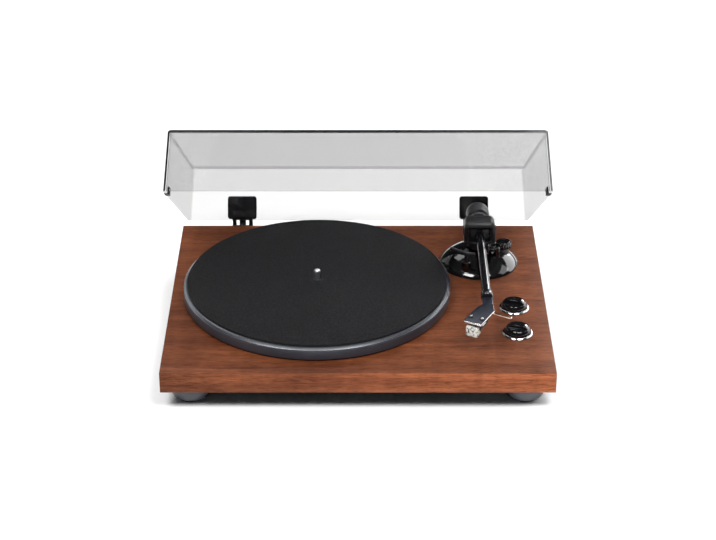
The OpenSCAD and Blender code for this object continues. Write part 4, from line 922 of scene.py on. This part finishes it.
# The fittings of the headshell are modelled along -Y from the bend and then turned with it
def make_shell_bolts():
    pitch_half, back = 6.35, 29.7
    shank_r, head_r = 1.2, 2.2
    head = [(0, -6.3), (shank_r, -6.3), (shank_r, SHELL_TOP), (head_r, SHELL_TOP), (head_r, 2.3), (1.9, 2.6),
            (1.5, 2.6), (0, 2.6)]
    # Each dark head carries a small bright metal crown, which stands in for a painted highlight on the head.
    crown = [(0, 2.3), (1.5, 2.3), (1.3, 2.9), (0.75, 3.2), (0, 3.3)]
    bolts = []
    for side in (-pitch_half, pitch_half):
        for name, line, finish in (("bolt", head, SATIN), ("crown", crown, BRIGHT)):
            bolts.append(paint(turn(name, line, (side, -back, 0), steps=32), finish))
    pair = join(*bolts)
    pair.name = "shell_bolts"
    fit(done(turn_with_shell(pair), 40), None, "arm_body", "steel", "headshell_screws")


def make_finger_lift():
    back, strip_width, root = 6.5, 3, 4.5
    glint_tip_from = 28.4 * MM
    side = [(root, -2.5), (28.5, -2.5), (30.2, -2.2), (31.5, -1.3), (30.8, -0.3), (29.6, -1.1), (28.2, -1.35),
            (root, SHELL_UNDER)]
    lift = slab("finger_strip", [at(u, -back, w) for u, w in side], (0, -strip_width, 0))
    soften(lift, 0.3, 2, 40)

    # The curled end of the strip is bright steel, not the strip's warm metal, as a painted highlight.
    def plate_of(centre, normal):
        return "tip" if centre.x > glint_tip_from else "strip"

    paint_faces(lift, {"strip": COPPER, "tip": BRIGHT}, plate_of)
    fit(done(turn_with_shell(lift), 40), None, "arm_body", "copper_steel", "finger_lift")


def make_cartridge():
    pin_r, pin_front, pin_back = 0.6, -15.2, -12
    body = soften(block("body", (-7.5, -35, -9.8), (7.5, -15, SHELL_UNDER)), 0.8)
    ears = soften(block("ears", (-9.5, -33.7, -4.3), (9.5, -25.7, SHELL_UNDER)), 0.5)
    pin_line = [(0, pin_front), (pin_r, pin_front), (pin_r, pin_back - 0.2), (0.4, pin_back), (0, pin_back)]
    places = [(u, 0, w) for u in (-4.5, 4.5) for w in (-3.8, -7.4)]
    pins = [paint(turn("pin", pin_line, place, "Y", 16), JACK_BRASS) for place in places]
    join(paint(body, MATT), ears, *pins)
    body.name = "pickup_body"
    fit(done(turn_with_shell(body), 40), None, "arm_body", "black_plastic", "cartridge")


# Stylus: a grip, a thin leaning rod and the point at its end
def make_stylus():
    grip = soften(block("tip_grip", (-5, -36, -12.3), (5, -24, -9.8)), 0.6)
    rod_r, rod_from, rod_to = 0.4, Vector((0, -34, -11.05)), Vector((0, -38, -13.5))
    rod = round_pin("rod", rod_r, 0, (rod_to - rod_from).length, (0, 0, 0), 16)
    lean = AXES["Z"].rotation_difference(rod_to - rod_from).to_matrix().to_4x4()
    carry(rod, at(0, 0, 0), lean, at(*rod_from))
    point_line = [(0, -13.8), (0.15, -13.8), (rod_r, -12.9), (0, -12.9)]
    point = turn("point", point_line, (0, rod_to.y, 0), "Z", 16)
    join(grip, rod, point)
    fit(done(turn_with_shell(grip), 40), TIP_RED, "arm_body", "tip_red", "stylus")


# Stylus guard: a hollow shoe with a hood in front of the cartridge
def make_guard():
    low, top, hood_top, front = -15.4, -10.1, -4.0, -42
    half, room_half, hood_half, tooth_half = 6.1, 5.3, 7, 1.3
    wall = 0.8
    shell = soften(block("needle_guard", (-half, front, low), (half, -31, top)), 0.7)
    hood = soften(block("hood", (-hood_half, front, low), (hood_half, -36.3, hood_top)), 1.5, 4)
    combine(shell, hood, "UNION")
    cut_away(shell, block("room", (-room_half, front + wall, low + wall), (room_half, -30, top + 0.2)))
    cut_away(shell, block("tooth", (-tooth_half, front - 1, low - 1), (tooth_half, -39.5, low + 0.6)))
    soften(shell, 0.25, 2, 45)
    fit(done(turn_with_shell(shell), 40), CREAM, "guard_body", "cream_plastic", "stylus_guard")


# Lid: a tapered shell with rounded corners and edges, open below
def make_lid():
    taper, wall = 8.6, 3
    corner_round, top_round, band_foot = 6, 2.8, 62.5
    width, depth = LID_HALF_WIDTH, LID_HALF_DEPTH
    lid = block("clear_cover", (-width, -depth, LID_FOOT), (width, depth, LID_TOP))
    top = at(0, 0, LID_TOP)
    select_faces(lid, lambda centre, normal: normal.z > 0.5)
    shrink = (1 - taper / (2 * width), 1 - taper / (2 * depth), 1)
    bpy.ops.transform.resize(value=shrink, center_override=top)
    leave_edit()
    round_edges(lid, lambda a, b: abs(a.z - b.z) > 0.05, corner_round, 6)
    round_edges(lid, lambda a, b: min(a.z, b.z) > top.z - 1e-5, top_round, 4)
    edit(lid)
    slice_all(at(0, 0, band_foot), AXES["Z"])
    select_faces(lid, lambda centre, normal: normal.z < -0.5)
    bpy.ops.mesh.delete(type="FACE")
    modify(lid, "SOLIDIFY", thickness=wall * MM, offset=-1, use_even_offset=True)
    middle, band, front_edge = at(0, 0, 0).y, at(0, 0, band_foot).z, at(0, -148, 0).y

    def clear_of(centre, normal):
        across, along, up = (abs(c) for c in normal)
        at_front, in_band = centre.y < front_edge, centre.z > band
        if up > 0.9:
            return "top"
        # The rounded front edges take the painted shade edge finish and the other rounded top edges a dark tint,
        # both as painted shade lines.
        if at_front and (in_band or (min(across, along) > 0.45 and normal.x * centre.x > 0)):
            return "dark_edge"
        if in_band:
            return "edge"
        if along > 0.8:
            return "front" if centre.y < middle else "rear"
        return "side"

    walls = {"front": CLEAR_FRONT_SHADED, "top": CLEAR_TOP_SHADED, "rear": CLEAR_REAR_SHADED, "side": CLEAR_SIDE_SHADED, "dark_edge": LID_EDGE_SHADE_AND_GLINT,
             "edge": CLEAR_EDGE_SHADE}
    paint_faces(lid, walls, clear_of)
    fit(done(tilt_with_lid(lid), 25), None, "lid_body", "clear_plastic", "dust_cover")


# Rubber bumpers that grip the lid's side walls near its front corners
def make_bumpers():
    front, length = -137, 18
    section = [(199.35, 0.1), (204.35, 0.1), (204.35, 1.0), (200.95, 1.0), (200.49, 8.0), (198.89, 8.0)]
    pads = []
    for side in (-1, 1):
        pad = slab("pad", [at(side * u, front, w) for u, w in section], (0, length, 0))
        pads.append(soften(pad, 0.25, 2))
    bumpers = join(*pads)
    bumpers.name = "rim_pads"
    fit(done(tilt_with_lid(bumpers)), RUBBER, "lid_body", "black_rubber", "lid_bumpers")


# Hinges: a holder on the lid and a base on the plinth, left and right
def make_hinges():
    spacing, half, leg_half, plate = 139, 17.25, 12, 6
    slot_place, slot_half, knuckle_r = 5.7, 1.9, 4.4
    seat_low, seat_top, seat_front, seat_back = -23, -15, 170, 173
    cheek_r, cheek_width = 5, 4.95
    skin = 0.05

    def lid_back(z):
        return LID_HALF_DEPTH - 4.3 * z / 65

    def across_holder(a, b):
        return abs(a.y - b.y) > 4 * MM and abs(a.z - b.z) < MM

    wedge = [(lid_back(2) + skin, 3), (lid_back(2) + plate, 3), (lid_back(29) + plate, 30),
             (lid_back(29) + skin, 30)]
    leg = [(lid_back(2) + skin, 3), (171.6, 1), (171.6, -9), (180.4, -9), (180.4, 0), (lid_back(12) + plate, 13),
           (lid_back(12) + skin, 13)]
    tube = [(2.05, -leg_half), (4.0, -leg_half), (knuckle_r, -11.6), (knuckle_r, 11.6), (4.0, leg_half),
            (2.05, leg_half)]
    cheek_line = [(seat_front, seat_low), (HINGE[0], seat_low)]
    cheek_line += arc(*HINGE, cheek_r, -78, 90, 12) + [(seat_front, -4)]
    for word, side in (("left", -1), ("right", 1)):
        x = side * spacing
        holder = slab("hinge_clip_" + word, [at(x - half, v, w) for v, w in wedge], (2 * half, 0, 0))
        round_edges(holder, across_holder, 3, 6)
        soften(holder, 0.6, 3, 40)
        arm = slab("leg", [at(x - leg_half, v, w) for v, w in leg], (2 * leg_half, 0, 0))
        for slot in (x - slot_place, x + slot_place):
            cut_away(arm, block("slot", (slot - slot_half, 166.5, -3.5), (slot + slot_half, 184, 10)))
        soften(arm, 0.5, 2, 40)
        knuckle = turn("knuckle", tube, (x, *HINGE), "X", 40)
        join(holder, arm, knuckle)
        fit(done(tilt_with_lid(holder), 40), MATT, "lid_body", "black_plastic", "hinge_holder_" + word)

        seat = block("hinge_seat_" + word, (x - half, seat_front, seat_low), (x + half, seat_back, seat_top))
        soften(seat, 0.5, 2)
        cheeks = []
        for start in (x - half, x + half - cheek_width):
            cheek = slab("cheek", [at(start, v, w) for v, w in cheek_line], (cheek_width, 0, 0))
            cheeks.append(soften(cheek, 0.4, 2, 50))
        join(seat, *cheeks)
        fit(done(seat, 40), MATT, "plinth", "black_plastic", "hinge_base_" + word)


# Nodes that keep their shape and get a finish
def finish_kept_nodes():
    kept = {
        COVER_BLACK: ["bottom_cover", "jack_plate"],
        RUBBER: ["foot_pads", "motor_grommets", "drive_belt"],
        STEEL: ["cover_screws", "foot_screws", "chassis_screws", "rear_screws", "hinge_pins", "thrust_ball",
                "motor", "motor_bracket", "motor_shaft", "board_spacers", "pillar_nut", "ground_post",
                "bearing_housing"],
        BRONZE: ["bearing_bush", "motor_pulley"],
        JACK_BRASS: ["output_jacks"],
        BOARD: ["circuit_board"],
        WHITE: ["jack_collar_left"],
        RED: ["jack_collar_right"],
        MATT: ["power_inlet", "rotary_switches"],
        SATIN: ["arm_pillar"],
    }
    for material, names in kept.items():
        for name in names:
            paint(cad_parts[name], material)


# Stage, light and camera
def make_floor():
    deselect()
    bpy.ops.mesh.primitive_plane_add(size=24, location=(0, 0, 0))
    floor = bpy.context.object
    floor.name = "studio_floor"
    pale = Finish("pale_floor", Roughness=0.9)
    pale.colour(pale.ramp(pale.noise(2, 2), (0.3, grey(0.96)), (0.7, grey(0.98))))
    floor.data.materials.append(pale.material)


def softbox(name, place, target, width, height, power):
    deselect()
    bpy.ops.object.light_add(type="AREA", location=place)
    lamp = bpy.context.object
    lamp.name = name
    lamp.data.shape = "RECTANGLE"
    lamp.data.size = width
    lamp.data.size_y = height
    lamp.data.energy = power
    lamp.rotation_euler = (Vector(target) - Vector(place)).to_track_quat("-Z", "Y").to_euler()


def make_light():
    """A dim studio that is paler at the horizon and overhead, and soft boxes in metres and watts."""
    world = bpy.data.worlds.new("studio")
    bpy.context.scene.world = world
    world.use_nodes = True
    tree = world.node_tree
    direction = tree.nodes.new("ShaderNodeTexCoord").outputs["Generated"]
    split = tree.nodes.new("ShaderNodeSeparateXYZ")
    height = tree.nodes.new("ShaderNodeValToRGB")
    set_stops(height.color_ramp, [(0.0, grey(0.30)), (0.06, grey(0.04)), (0.62, grey(0.04)), (0.9, grey(0.20))])
    tree.links.new(direction, split.inputs["Vector"])
    tree.links.new(split.outputs["Z"], height.inputs["Fac"])
    tree.links.new(height.outputs["Color"], tree.nodes["Background"].inputs["Color"])
    deck, arm_side, tube = (0, 0, 0.03), (0.1, 0, 0.08), (0.14, 0, 0.09)
    arm_base = (0.14, 0, 0.08)
    softbox("front_left", (-0.95, -1.3, 2.2), deck, 1.1, 0.7, 46)
    softbox("front_right", (0.75, -1.3, 2.2), deck, 1.0, 0.7, 42)
    softbox("back_high", (-0.1, 1.4, 1.97), deck, 2.6, 0.8, 30)
    softbox("back_right", (1.75, 1.3, 0.8), arm_base, 2.4, 1.15, 31)
    softbox("right", (2.1, 0.1, 1.5), arm_side, 1.2, 0.8, 6)
    softbox("back_left", (-1.7, 1.3, 0.8), arm_side, 1.6, 1.0, 4)
    softbox("tube_strip", (1.2, 1.9, 0.75), tube, 0.4, 0.5, 12)


def make_camera():
    distance, height, pitch = 1.9865, 1.1603, radians(61.453)
    deselect()
    bpy.ops.object.camera_add(location=(0, -distance - FRAME_SHIFT * MM, height), rotation=(pitch, 0, 0))
    camera = bpy.context.object
    camera.data.lens = 101.42
    camera.data.sensor_width = 36
    camera.data.sensor_fit = "HORIZONTAL"
    camera.data.clip_end = 60
    bpy.context.scene.camera = camera


make_plinth()
make_feet()
make_platter()
make_mat()
make_spindle()
make_knobs()
make_arm_base()
make_arm_rest()
make_lift()
make_cue_lever()
make_anti_skate()
make_yoke()
make_arm()
make_weight()
make_headshell()
make_shell_bolts()
make_finger_lift()
make_cartridge()
make_stylus()
make_guard()
make_lid()
make_bumpers()
make_hinges()
finish_kept_nodes()
make_floor()
make_light()
make_camera()
bpy.context.scene.view_settings.view_transform = "Standard"
deselect()
